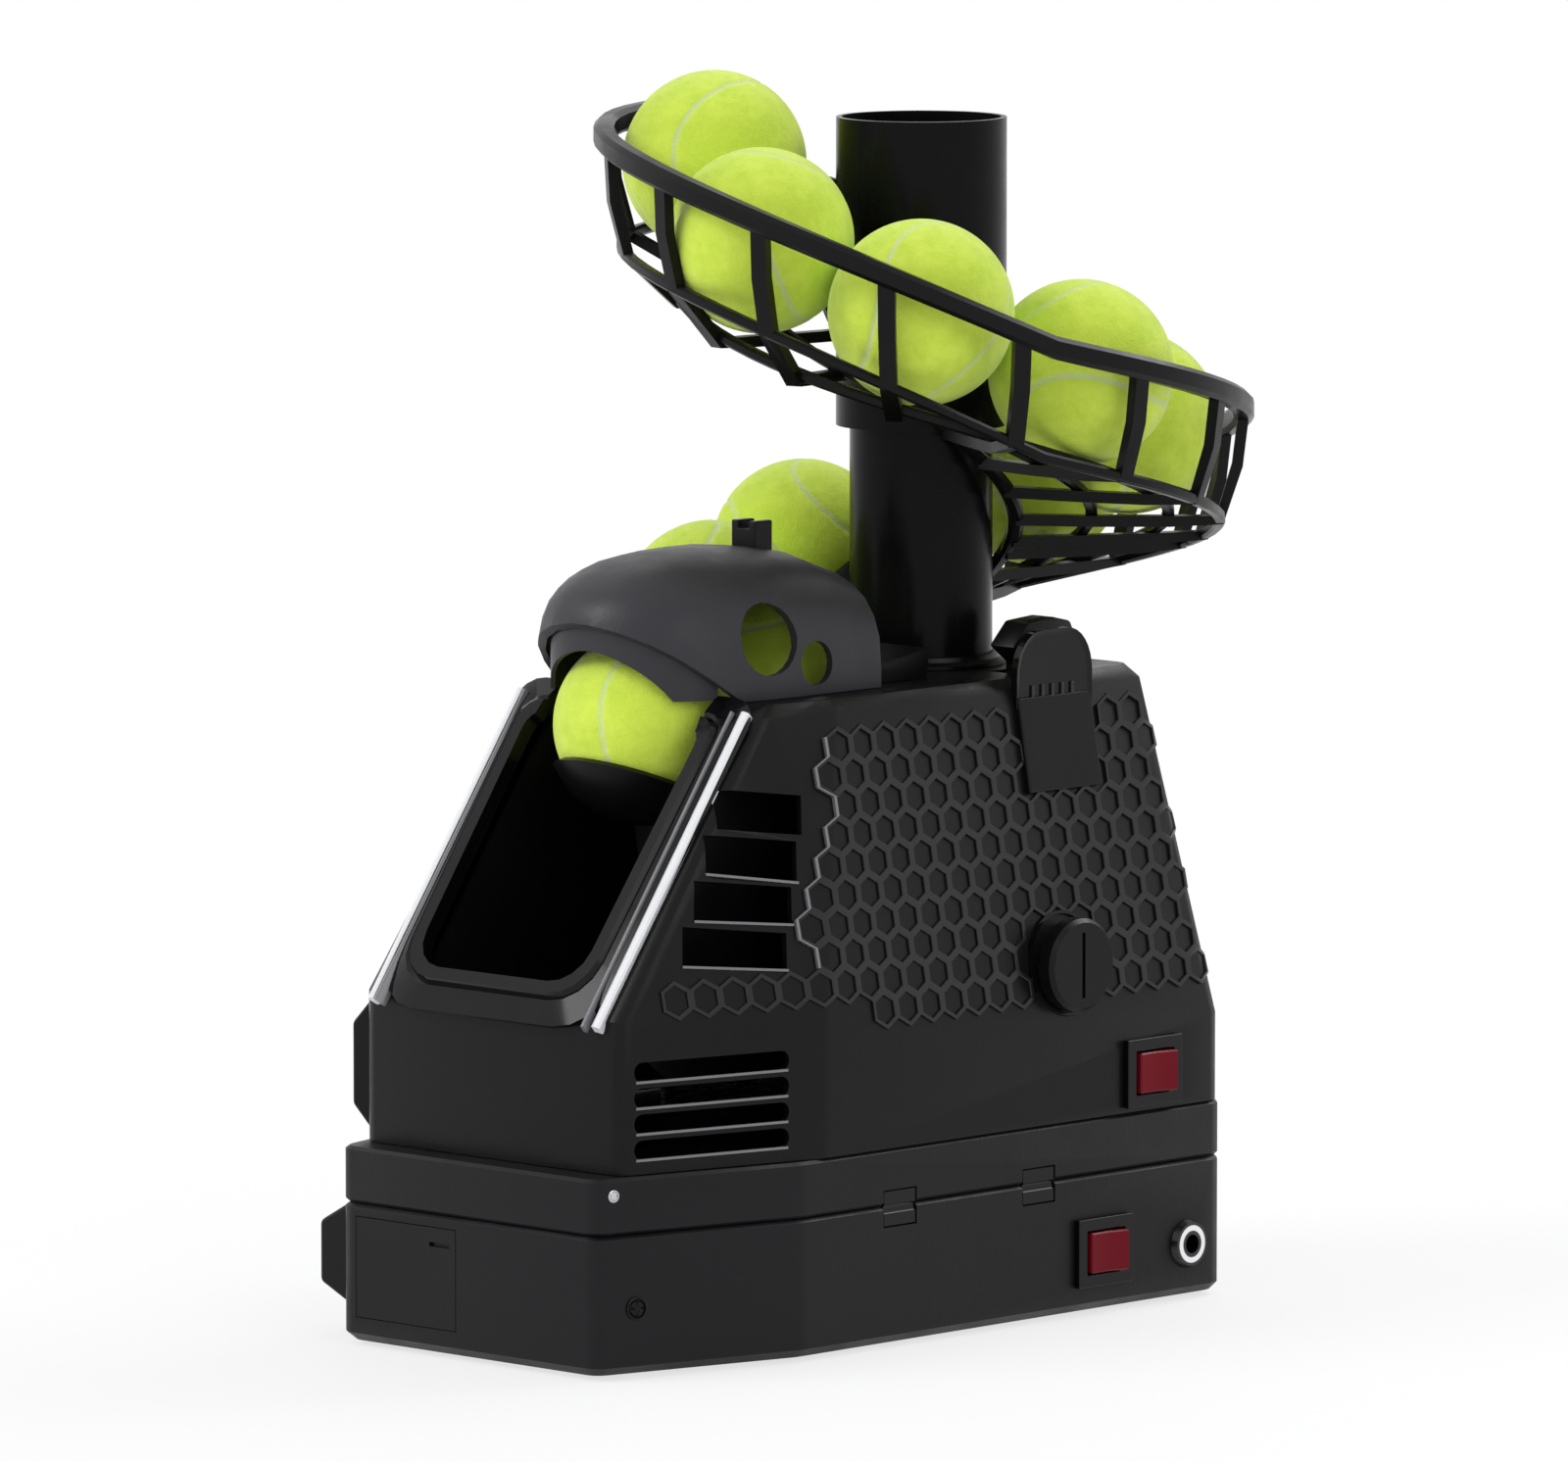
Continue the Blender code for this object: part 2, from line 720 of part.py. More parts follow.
def housing_ring(inset, low, high, share, shrink=0.0):
    """A rounded outline part way between two levels of the housing."""
    corners = []
    for (x0, y0, z0), (x1, y1, z1) in zip(side_corners(inset + shrink, low), side_corners(inset + shrink, high)):
        corners.append((x0 + (x1 - x0) * share, y0 + (y1 - y0) * share, z0 + (z1 - z0) * share))
    heights = [z for _, _, z in corners]
    heights = heights + heights[::-1]
    side = [BASE_FRONT_ROUND - inset / 2, 0.016, HOUSING_REAR_ROUND - inset]
    outline = rounded(mirrored([(x, y) for x, y, _ in corners]), side + side[::-1])
    return [
        (x, y, heights[index // (CORNER_STEPS + 1)])
        for index, (x, y) in enumerate(outline)
    ]


def housing_skin(inset, foot):
    rise = HOUSING_TOP - KNEE_FRONT
    shape = bmesh.new()
    rings = [[(x, y, foot) for x, y, _ in housing_ring(inset, 0, 0, 0.0)]]
    rings.append(housing_ring(inset, 1, 1, 0.0))
    rings.append(housing_ring(inset, 1, 2, 1.0 - (TOP_ROUND + inset) / rise))
    top = [(x, y, z - inset) for x, y, z in housing_ring(inset, 2, 2, 0.0, TOP_ROUND * 0.8)]
    rings.append(top)
    add_loft(shape, rings)
    return shape


def slope_frame():
    """Frame of the front slope: X across, Y up the slope from the knee, Z out of it."""
    foot = Vector((0.0, back(HOUSING_SETBACK), KNEE_FRONT))
    head = Vector((0.0, back(TOP_SETBACK), HOUSING_TOP))
    return plane_frame(foot, foot + Vector((1.0, 0.0, 0.0)), head)


def facet_frame():
    """Frame of the right-hand front facet: X back along it, Y up it, Z out of it."""
    knee = [Vector(corner) for corner in side_corners(0.0, 1)]
    head = [Vector(corner) for corner in side_corners(0.0, 2)]
    return plane_frame(knee[0], knee[1], (head[0] + head[1]) / 2)


def mouth_outline(grow=0.0):
    low = MOUTH_SILL - grow
    high = MOUTH_SILL + MOUTH_HEIGHT + grow
    corners = [
        (MOUTH_LOW_HALF + grow, low),
        (MOUTH_HIGH_HALF + grow, high),
        (-MOUTH_HIGH_HALF - grow, high),
        (-MOUTH_LOW_HALF - grow, low),
    ]
    radius = MOUTH_ROUND + grow / 2
    return rounded(corners, [radius, radius / 2, radius / 2, radius], 4)


def make_housing():
    housing = finish_object("housing", housing_skin(0.0, HOUSING_BOTTOM), BODY_BLACK)
    cut(housing, "housing_hollow", housing_skin(WALL, HOUSING_BOTTOM - WALL))
    mouth = bmesh.new()
    add_prism(mouth, mouth_outline(LINER_WALL + GAP), -0.012, 0.012, slope_frame())
    cut(housing, "mouth_hole", mouth)
    clear_chute(housing, "housing")
    vents = bmesh.new()
    add_louvre_slots(vents)
    cut(housing, "vent_slots", vents)
    openings = bmesh.new()
    add_box(openings, *switch_hole(POWER_SETBACK, POWER_HEIGHT))
    dial = Vector((BASE_HALF, back(DIAL_SETBACK), DIAL_HEIGHT))
    add_rod(openings, dial, DIAL_STEM + 3 * GAP, 0.03, "X", 16)
    add_rod(openings, (0, POST_Y, HOUSING_TOP), POST_RADIUS + GAP, 0.03, "Z", 40)
    add_box(openings, (LEVER_X, back(LEVER_SETBACK), HOUSING_TOP), (LEVER_SLOT, LEVER_SLOT_LENGTH, 0.03))
    return cut(housing, "housing_openings", openings)


def add_louvre_slots(shape):
    """Level slots in the facet: a tall stack on the slope and a low stack on the upright band."""
    place = facet_frame()
    slot = (VENT_PITCH - VENT_SLAT) / 2
    for row in range(UPPER_VENTS):
        middle = UPPER_VENT_FOOT + VENT_PITCH * (row + 0.5)
        lean = UPPER_VENT_LEAN * middle
        left = UPPER_VENT_LEFT + lean
        right = UPPER_VENT_RIGHT + lean / 2
        corners = [(left, middle - slot), (right, middle - slot), (right, middle + slot), (left, middle + slot)]
        add_prism(shape, corners, -0.012, 0.006, place)
    upright = upright_frame()
    slot = (LOWER_VENT_PITCH - LOWER_VENT_SLAT) / 2
    for row in range(LOWER_VENTS):
        middle = LOWER_VENT_FOOT + LOWER_VENT_PITCH * (row + 0.5)
        corners = [
            (LOWER_VENT_LEFT, middle - slot),
            (LOWER_VENT_RIGHT, middle - slot),
            (LOWER_VENT_RIGHT, middle + slot),
            (LOWER_VENT_LEFT, middle + slot),
        ]
        add_prism(shape, rounded(corners, [slot * 0.9] * 4, 3), -0.012, 0.006, upright)


def upright_frame():
    """Frame of the facet's upright band below the knee."""
    foot = [Vector(corner) for corner in side_corners(0.0, 0)]
    return plane_frame(foot[0], foot[1], foot[0] + Vector((0, 0, 0.01)))


def make_mouth_frame():
    """Glossy bezel that stands proud of the slope, with a chamfer out to the corner edges."""
    place = slope_frame()
    shape = bmesh.new()
    rings = []
    for grow, rise in (
        (FRAME_BORDER, GAP),
        (FRAME_BORDER, FRAME_EDGE),
        (FRAME_BORDER * 0.45, FRAME_PROUD * 0.8),
        (FRAME_BORDER * 0.36, FRAME_PROUD * 0.7),
        (FRAME_BORDER * 0.30, FRAME_PROUD),
        (FRAME_LAND / 2, FRAME_PROUD),
    ):
        rings.append([tuple(place @ Vector((x, y, rise))) for x, y in mouth_outline(grow)])
    add_loft(shape, rings)
    frame = finish_object("mouth_frame", shape, GLOSS_BLACK)
    hole = bmesh.new()
    add_prism(hole, mouth_outline(), -0.02, 0.03, place)
    cut(frame, "frame_hole", hole)
    clear_chute(frame, "frame")
    return frame


# Ball path

BALL_REACH = 2 * BALL_RADIUS + BALL_GAP
CHUTE_START = BALL_START - BASKET_LEAD + (UPPER_BAYS + LOWER_BAYS) * RIB_STEP
BASKET_STRETCH = math.hypot(1.0, BALL_PITCH / math.tau / BALL_TURN_RADIUS)
CHUTE_STRETCH = math.hypot(1.0, CHUTE_FALL / math.tau / BALL_TURN_RADIUS)
CHUTE_INNER = BALL_RADIUS + CHUTE_CLEARANCE
CHUTE_SLACK = CHUTE_INNER - (BALL_RADIUS + 2 * GAP) * CHUTE_STRETCH
CHUTE_OUTER = CHUTE_INNER + CHUTE_WALL


def ball_height(angle):
    """Height of a ball's centre: the basket's steady fall, then the chute's gentler one."""
    basket = min(angle, CHUTE_START) - BALL_START
    chute = max(angle - CHUTE_START, 0.0)
    return BALL_START_HEIGHT - (basket * BALL_PITCH + chute * CHUTE_FALL) / math.tau


def around(angle, radius, height):
    """A point beside the post, by its angle, its distance from the post and its height."""
    return Vector((radius * math.cos(angle), POST_Y + radius * math.sin(angle), height))


def touching_step(fall):
    """Angle between balls that almost touch, for a track that falls so far in a turn."""
    step = BALL_REACH / BALL_TURN_RADIUS
    for _ in range(20):
        drop = fall * step / math.tau
        step = 2 * math.asin(math.sqrt(BALL_REACH**2 - drop**2) / (2 * BALL_TURN_RADIUS))
    return step


FED_HEIGHT = ball_height(CHUTE_END)
FED_PLACE = around(CHUTE_END, BALL_TURN_RADIUS, FED_HEIGHT)
THROWN_DROP = FED_HEIGHT - THROWN_HEIGHT
THROWN_PLACE = Vector((0.0, FED_PLACE.y - math.sqrt(BALL_REACH**2 - THROWN_DROP**2), THROWN_HEIGHT))
PIVOT = Vector((0.0, back(ARM_PIVOT_SETBACK), ARM_PIVOT_HEIGHT))


def ring_about(centre, across, up, radius, start, end, steps):
    """Points of an arc around a centre, in the plane of two directions."""
    points = []
    for step in range(steps + 1):
        turn = start + (end - start) * step / steps
        points.append(centre + across * (radius * math.cos(turn)) + up * (radius * math.sin(turn)))
    return points


def pipe_section(axis, across, radius, start, sweep, steps):
    up = Vector((0.0, 0.0, 1.0))
    return ring_about(axis, across, up, radius, start, start + sweep, steps)


def arc_pipe(radius, start, end, turn=-math.pi, sweep=math.pi, steps=14):
    """The chute's curved part round the post, as a solid bar with the section of a half or full pipe."""
    shape = bmesh.new()
    rings = []
    for step in range(steps + 1):
        angle = start + (end - start) * step / steps
        axis = around(angle, BALL_TURN_RADIUS, ball_height(angle) + CHUTE_SLACK)
        across = around(angle, 1.0, 0.0) - around(angle, 0.0, 0.0)
        rings.append(pipe_section(axis, across, radius, turn, sweep, PIPE_SIDES))
    add_loft(shape, rings)
    return shape


def run_pipe(radius, front, rear, turn=-math.pi, sweep=math.pi):
    """The chute's straight part, which falls towards the thrown ball, as a solid bar."""
    slope = (FED_PLACE.z - THROWN_PLACE.z) / (FED_PLACE.y - THROWN_PLACE.y)
    shape = bmesh.new()
    rings = []
    for setback in (front, rear):
        height = FED_PLACE.z + (back(setback) - FED_PLACE.y) * slope + CHUTE_SLACK
        axis = Vector((0.0, back(setback), height))
        rings.append(pipe_section(axis, Vector((1.0, 0.0, 0.0)), radius, turn, sweep, PIPE_SIDES))
    add_loft(shape, rings)
    return shape


FULL_TURN = math.tau * PIPE_SIDES / (PIPE_SIDES + 1)
FLAT_SHARE = math.cos(math.pi / (PIPE_SIDES + 1))
OFFSET_TURN = 0.1
RUN_RISE = 0.04


def clear_chute(made, name):
    """Cuts away what the housing or the bay gives up to the chute and to the balls in it."""
    radius = (CHUTE_OUTER + 2 * GAP) / FLAT_SHARE
    arc = arc_pipe(radius, CHUTE_START - 0.1, CHUTE_END + 0.06, 0.0, FULL_TURN)
    run = run_pipe(radius, TUNNEL_FRONT, CHUTE_REAR + GAP, OFFSET_TURN, FULL_TURN)
    cut(made, f"{name}_arc_space", arc)
    cut(made, f"{name}_run_space", run)


def make_chute():
    """Open channel that takes balls from the basket, round the post and forward to the arm."""
    start = CHUTE_START + GAP / BALL_TURN_RADIUS
    chute = finish_object("feed_chute", arc_pipe(CHUTE_OUTER, start, CHUTE_END + 0.05), BODY_BLACK)
    run = run_pipe(CHUTE_OUTER, CHUTE_FRONT, CHUTE_REAR, -math.pi - RUN_RISE, math.pi + 2 * RUN_RISE)
    join(chute, "chute_run", run)
    bore = CHUTE_INNER / FLAT_SHARE
    cut(chute, "chute_arc_bore", arc_pipe(bore, CHUTE_START - 0.2, CHUTE_END + 0.02, 0.0, FULL_TURN))
    fed = POST_SETBACK - BALL_TURN_RADIUS
    cut(chute, "chute_run_bore", run_pipe(bore, CHUTE_FRONT - 0.02, fed, OFFSET_TURN, FULL_TURN))
    cup = bmesh.new()
    place = Matrix.Translation(FED_PLACE + Vector((0.0, 0.0, CHUTE_SLACK)))
    bmesh.ops.create_uvsphere(cup, u_segments=24, v_segments=13, radius=bore + GAP, matrix=place)
    cut(chute, "chute_end_cup", cup)
    return chute


# Post, hub and basket

def make_post():
    low = HOUSING_TOP - POST_SOCKET
    turned(
        "feed_post",
        [
            (POST_RADIUS, POST_TOP),
            (POST_RADIUS, low),
            (POST_RADIUS - POST_WALL, low),
            (POST_RADIUS - POST_WALL, POST_TOP),
        ],
        TUBE_BLACK,
        (0.0, POST_Y, 0.0),
        steps=40,
    )
    inner = POST_RADIUS + GAP
    foot = HOUSING_TOP + GAP
    turned(
        "post_collar",
        [
            (inner + 0.002, foot + COLLAR_HEIGHT),
            (COLLAR_RADIUS - 0.002, foot + COLLAR_HEIGHT * 0.6),
            (COLLAR_RADIUS, foot + COLLAR_HEIGHT * 0.3),
            (COLLAR_RADIUS, foot),
            (inner, foot),
            (inner, foot + COLLAR_HEIGHT),
        ],
        BODY_BLACK,
        (0.0, POST_Y, 0.0),
        steps=40,
    )


def make_hub():
    bore = POST_RADIUS + GAP
    stop = POST_TOP + GAP
    turned(
        "basket_hub",
        [
            (HUB_RADIUS, HUB_TOP),
            (HUB_RADIUS, HUB_BOTTOM),
            (bore, HUB_BOTTOM),
            (bore, stop),
            (bore - HUB_SHOULDER, stop),
            (bore - HUB_SHOULDER, stop + HUB_SHOULDER),
            (HUB_RADIUS - HUB_LIP, stop + 2 * HUB_SHOULDER),
            (HUB_RADIUS - HUB_LIP, HUB_TOP),
        ],
        TUBE_BLACK,
        (0.0, POST_Y, 0.0),
        steps=40,
    )


BASKET_START = BALL_START - BASKET_LEAD
RAIL_MIDDLE = RAIL_OUTER - RAIL_WIDTH / 2
FLOOR_DROP = (BALL_RADIUS + BALL_SEAT + RIB_THICKNESS / 2) * BASKET_STRETCH
RING_STEP = math.radians(6.0)


def start_rise(angle):
    """Extra height of the outer wall beside the first balls, which keeps them in."""
    share = (angle - BASKET_START) / START_LIFT_SPAN
    return START_LIFT * math.sin(math.pi * min(share, 1.0))


def wall_radius(angle):
    """Radius of the top rail's middle, which leans in over the balls where the wall is higher."""
    return RAIL_MIDDLE - START_TUCK * start_rise(angle) / START_LIFT


def rail_ring(angle, radius, height, width, depth):
    """Section of a rail: a flat bar with its corners taken off."""
    half = width / 2
    tall = depth / 2
    nip = min(half, tall) * 0.45
    section = [
        (half - nip, tall), (half, tall - nip), (half, nip - tall), (half - nip, -tall),
        (nip - half, -tall), (-half, nip - tall), (-half, tall - nip), (nip - half, tall),
    ]
    return [around(angle, radius + x, height + y) for x, y in section]


def basket_rails():
    """Radius, height below the ball's centre, width, depth and share of the start's extra height."""
    return (
        (RAIL_MIDDLE, RAIL_RISE, RAIL_WIDTH, RAIL_HEIGHT, 1.0),
        (WALL_FOOT_RADIUS, RAIL_RISE - BASKET_DEPTH, ROD_WIDTH, ROD_WIDTH, 1.0),
        (BALL_TURN_RADIUS + FLOOR_RAIL_OFFSET, -floor_rail_drop(), ROD_WIDTH, ROD_WIDTH, 0.0),
        (BALL_TURN_RADIUS - FLOOR_RAIL_OFFSET, -floor_rail_drop(), ROD_WIDTH, ROD_WIDTH, 0.0),
        (INNER_RAIL_RADIUS, -FLOOR_DROP, INNER_RAIL_WIDTH, INNER_RAIL_WIDTH, 0.0),
    )


def floor_rail_drop():
    """How far the middles of the two floor rails lie below the centre of the ball that they carry."""
    reach = BALL_RADIUS + BALL_SEAT + ROD_WIDTH * 0.5
    return math.sqrt(reach**2 - FLOOR_RAIL_OFFSET**2) * BASKET_STRETCH


def basket_shape(start, end):
    shape = bmesh.new()
    steps = round((end - start) / RING_STEP)
    for radius, drop, width, depth, lifted in basket_rails():
        rings = []
        for step in range(steps + 1):
            angle = start + (end - start) * step / steps
            height = ball_height(angle) + drop + lifted * start_rise(angle)
            reach = wall_radius(angle) if radius == RAIL_MIDDLE else radius
            rings.append(rail_ring(angle, reach, height, width, depth))
        add_loft(shape, rings)
    return shape


def rib_line(angle):
    """Middle line of a rib, from the top rail down the side and inward to the inner rail."""
    rise = start_rise(angle)
    foot = RAIL_RISE - BASKET_DEPTH + rise
    top = wall_radius(angle)
    bow = (top + WALL_FOOT_RADIUS) / 2 + RIB_BOW
    return [
        (top, RAIL_RISE + rise),
        (bow, (RAIL_RISE + rise + foot) / 2),
        (WALL_FOOT_RADIUS, foot),
        (BALL_TURN_RADIUS + FLOOR_RAIL_OFFSET, -FLOOR_DROP - RIB_SAG),
        (BALL_TURN_RADIUS, -FLOOR_DROP - RIB_SAG),
        (BALL_TURN_RADIUS - FLOOR_RAIL_OFFSET, -FLOOR_DROP - RIB_SAG),
        (INNER_RAIL_RADIUS, -FLOOR_DROP),
    ]


def thick_line(points, thickness):
    """Outline of a bent bar from the points of its middle line."""
    line = [Vector(point) for point in points]
    left = []
    right = []
    for index, point in enumerate(line):
        before = line[max(index - 1, 0)]
        after = line[min(index + 1, len(line) - 1)]
        along = (after - before).normalized()
        side = Vector((-along.y, along.x)) * thickness / 2
        left.append(point + side)
        right.append(point - side)
    return [tuple(point) for point in left + right[::-1]]


def add_rib(shape, angle):
    along = around(angle + math.pi / 2, 1.0, 0.0) - around(angle + math.pi / 2, 0.0, 0.0)
    outward = around(angle, 1.0, 0.0) - around(angle, 0.0, 0.0)
    up = Vector((0.0, 0.0, 1.0))
    turn = Matrix((outward, up, outward.cross(up))).transposed().to_4x4()
    place = Matrix.Translation(around(angle, 0.0, ball_height(angle))) @ turn
    add_prism(shape, thick_line(rib_line(angle), RIB_THICKNESS), -RIB_WIDTH / 2, RIB_WIDTH / 2, place)


def make_basket(name, start, end, bays):
    """One moulding of the basket: five spiral rails and the ribs that join them."""
    tip = RIB_WIDTH / 2 / RAIL_OUTER
    basket = finish_object(name, basket_shape(start, end), BASKET_BLACK)
    ribs = bmesh.new()
    for bay in range(bays + 1):
        angle = start + (end - start) * bay / bays
        if bay == 0:
            angle += RIB_INSET
        if bay == bays:
            angle -= RIB_INSET
        add_rib(ribs, angle)
    return join(basket, f"{name}_ribs", ribs)


def make_baskets():
    joint = BASKET_START + UPPER_BAYS * RIB_STEP
    seam = GAP / INNER_RAIL_RADIUS
    make_basket("upper_basket", BASKET_START, joint - seam, UPPER_BAYS)
    make_basket("lower_basket", joint, CHUTE_START - seam, LOWER_BAYS)


def make_end_plate():
    """Upright plate across the upper end of the basket, from the hub to just past the rail."""
    reach = RAIL_OUTER / abs(math.cos(BASKET_START))
    low = RAIL_RISE - BASKET_DEPTH - PLATE_SKIRT
    high = RAIL_RISE + RAIL_HEIGHT / 2
    foot = -FLOOR_DROP - PLATE_SKIRT
    outline = [
        (HUB_RADIUS + GAP, foot), (WALL_FOOT_RADIUS * 0.8, foot), (WALL_FOOT_RADIUS, low),
        (reach, high - RAIL_HEIGHT), (reach, high), (RAIL_MIDDLE - RAIL_WIDTH, high),
        (BALL_TURN_RADIUS, high - PLATE_DIP), (HUB_RADIUS + GAP, foot + PLATE_ROOT),
    ]
    outward = around(BASKET_START, 1.0, 0.0) - around(BASKET_START, 0.0, 0.0)
    up = Vector((0.0, 0.0, 1.0))
    turn = Matrix((outward, up, outward.cross(up))).transposed().to_4x4()
    place = Matrix.Translation(around(BASKET_START, 0.0, ball_height(BASKET_START))) @ turn
    shape = bmesh.new()
    add_prism(shape, outline, GAP, GAP + PLATE_THICK, place)
    return finish_object("track_end_plate", shape, BASKET_BLACK)


# Balls

def make_ball(name, place):
    shape = bmesh.new()
    bmesh.ops.create_icosphere(shape, subdivisions=3, radius=BALL_RADIUS)
    ball = finish_object(name, shape, FELT, smooth=True)
    ball.location = place
    return ball


def make_balls():
    number = 1
    step = touching_step(BALL_PITCH)
    for index in range(BASKET_BALLS):
        angle = BALL_START + index * step
        make_ball(f"tennis_ball_{number}", around(angle, BALL_TURN_RADIUS, ball_height(angle)))
        number += 1
    step = touching_step(CHUTE_FALL)
    for index in range(CHUTE_BALLS):
        angle = CHUTE_END - (CHUTE_BALLS - 1 - index) * step
        make_ball(f"tennis_ball_{number}", around(angle, BALL_TURN_RADIUS, ball_height(angle)))
        number += 1
    make_ball(f"tennis_ball_{number}", THROWN_PLACE)


# Throwing mechanism

def bay_prism(outline, half):
    shape = bmesh.new()
    place = Matrix((
        (0.0, 0.0, 1.0, 0.0),
        (1.0, 0.0, 0.0, FRONT_Y),
        (0.0, 1.0, 0.0, 0.0),
        (0.0, 0.0, 0.0, 1.0),
    ))
    add_prism(shape, outline, -half, half, place)
    return shape


def make_bay():
    """Tub behind the mouth in which the arm swings."""
    outline = [
        (BAY_FRONT, BAY_LIP), (BAY_NOSE, BAY_FLOOR + WALL), (BAY_REAR, BAY_FLOOR),
        (BAY_REAR, BAY_TOP), (BAY_HEAD, BAY_TOP),
    ]
    bay = finish_object("launch_bay", bay_prism(outline, BAY_HALF - GAP), BODY_BLACK)
    wall = LINER_WALL
    rise = (BAY_LIP - BAY_FLOOR - WALL) / (BAY_NOSE - BAY_FRONT)
    lift = wall * math.hypot(1.0, rise)
    hollow = [
        (BAY_FRONT - 0.02, BAY_LIP + 0.02 * rise + lift), (BAY_NOSE, BAY_FLOOR + WALL + lift),
        (BAY_REAR - wall, BAY_FLOOR + wall), (BAY_REAR - wall, BAY_GATE), (BAY_REAR + 0.02, BAY_GATE),
        (BAY_REAR + 0.02, BAY_TOP + 0.02), (BAY_FRONT - 0.02, BAY_TOP + 0.02),
    ]
    cut(bay, "bay_hollow", bay_prism(hollow, BAY_HALF - GAP - wall))
    clear_chute(bay, "bay")
    bores = bmesh.new()
    add_rod(bores, PIVOT, BUSH_RADIUS + GAP, 4 * BAY_HALF, "X", 24)
    return cut(bay, "bay_bores", bores)


def make_arm():
    """Arm with a cup for the ball. It turns on the shaft's axis."""
    lean = math.atan2(THROWN_PLACE.y - PIVOT.y, THROWN_PLACE.z - PIVOT.z)
    reach = (THROWN_PLACE - PIVOT).length
    tilt = Matrix.Rotation(-lean, 4, "X")
    shape = bmesh.new()
    inner = BALL_RADIUS + GAP
    outer = inner + CUP_WALL
    rings = []
    profile = []
    for step in range(CUP_STEPS + 1):
        turn = CUP_REACH * (CUP_STEPS - step) / CUP_STEPS
        profile.append((outer * math.sin(turn), -outer * math.cos(turn)))
    for step in range(CUP_STEPS + 1):
        turn = CUP_REACH * step / CUP_STEPS
        profile.append((inner * math.sin(turn), -inner * math.cos(turn)))
    points = [shape.verts.new((radius, 0.0, height)) for radius, height in profile]
    edges = [shape.edges.new(pair) for pair in zip(points, points[1:] + points[:1]) if pair[0] != pair[1]]
    bmesh.ops.spin(
        shape, geom=points + edges, cent=(0, 0, 0), axis=(0, 0, 1), angle=math.tau, steps=28, use_duplicate=False
    )
    bmesh.ops.remove_doubles(shape, verts=shape.verts, dist=0.00002)
    bmesh.ops.dissolve_degenerate(shape, edges=shape.edges, dist=0.00002)
    tip = Matrix.Translation((0.0, 0.0, reach)) @ tilt.inverted() @ Matrix.Rotation(-CUP_TILT, 4, "X")
    bmesh.ops.transform(shape, matrix=tilt @ tip, verts=shape.verts)
    arm = finish_object("throw_arm", shape, BODY_BLACK, smooth=True)
    arm.location = PIVOT
    bar = bmesh.new()
    length = reach - inner - CUP_WALL / 2
    add_box(bar, tilt @ Vector((0.0, 0.0, length / 2)), (ARM_WIDTH, ARM_DEPTH, length), tilt)
    stem = join(arm, "arm_bar", bar)
    hub = bmesh.new()
    add_rod(hub, (0, 0, 0), ARM_HUB_RADIUS, ARM_HUB_WIDTH, "X", 28)
    join(arm, "arm_hub", hub)
    bore = bmesh.new()
    add_rod(bore, (0, 0, 0), SHAFT_RADIUS + GAP, ARM_HUB_WIDTH + 0.02, "X", 20)
    cut(arm, "arm_bore", bore)
    for piece in ("arm_bar", "arm_hub", "arm_bore"):
        bpy.data.objects[piece].location = PIVOT
    return stem


def make_shaft():
    rod("arm_shaft", (SHAFT_MIDDLE, PIVOT.y, PIVOT.z), SHAFT_RADIUS, SHAFT_LENGTH, STEEL, "X", 20)
    inner = SHAFT_RADIUS + GAP
    for side, name in ((1, "right_shaft_bush"), (-1, "left_shaft_bush")):
        turned(
            name,
            [(BUSH_RADIUS, BUSH_LENGTH / 2), (BUSH_RADIUS, -BUSH_LENGTH / 2),
             (inner, -BUSH_LENGTH / 2), (inner, BUSH_LENGTH / 2)],
            BRASS,
            (side * BUSH_X, PIVOT.y, PIVOT.z),
            "X",
            24,
        )


def make_crank():
    """Lever on the shaft's end that the gear's pin pushes down to cock the arm."""
    shape = bmesh.new()
    add_rod(shape, (0, 0, 0), CRANK_HUB, CRANK_WIDTH, "X", 24)
    crank = finish_object("crank_lever", shape, STEEL)
    crank.location = (CRANK_X, PIVOT.y, PIVOT.z)
    bar = bmesh.new()
    add_box(bar, (0.0, CRANK_REACH / 2, 0.0), (CRANK_WIDTH * 0.8, CRANK_REACH, CRANK_DEPTH))
    join(crank, "crank_bar", bar)
    bore = bmesh.new()
    add_rod(bore, (0, 0, 0), SHAFT_RADIUS + GAP, 0.03, "X", 20)
    cut(crank, "crank_bore", bore)
    for piece in ("crank_bar", "crank_bore"):
        bpy.data.objects[piece].location = crank.location


def make_spring():
    """Torsion spring on the shaft between the bay and the crank, with two straight legs."""
    points = []
    pitch = SPRING_WIRE * 2 + SPRING_GAP
    start = Vector((SPRING_X, PIVOT.y, PIVOT.z))
    total = SPRING_TURNS * SPRING_POINTS
    for step in range(total + 1):
        turn = math.tau * step / SPRING_POINTS
        points.append(start + Vector((
            -pitch * step / SPRING_POINTS, SPRING_RADIUS * math.cos(turn), SPRING_RADIUS * math.sin(turn),
        )))
    first = points[0] + Vector((0.0, 0.0, -SPRING_LEG))
    last = points[-1] + Vector((0.0, 0.0, SPRING_LEG))
    path = [first] + points + [last]
    curve = bpy.data.curves.new("throw_spring", "CURVE")
    curve.dimensions = "3D"
    curve.bevel_depth = SPRING_WIRE
    curve.bevel_resolution = 1
    curve.use_fill_caps = True
    line = curve.splines.new("POLY")
    line.points.add(len(path) - 1)
    for point, place in zip(line.points, path):
        point.co = (*place, 1.0)
    spring = bpy.data.objects.new("throw_spring", curve)
    PARTS.objects.link(spring)
    curve.materials.append(STEEL)
    print(f"throw_spring: {SPRING_GAP * 1000:.2f} mm between its turns")


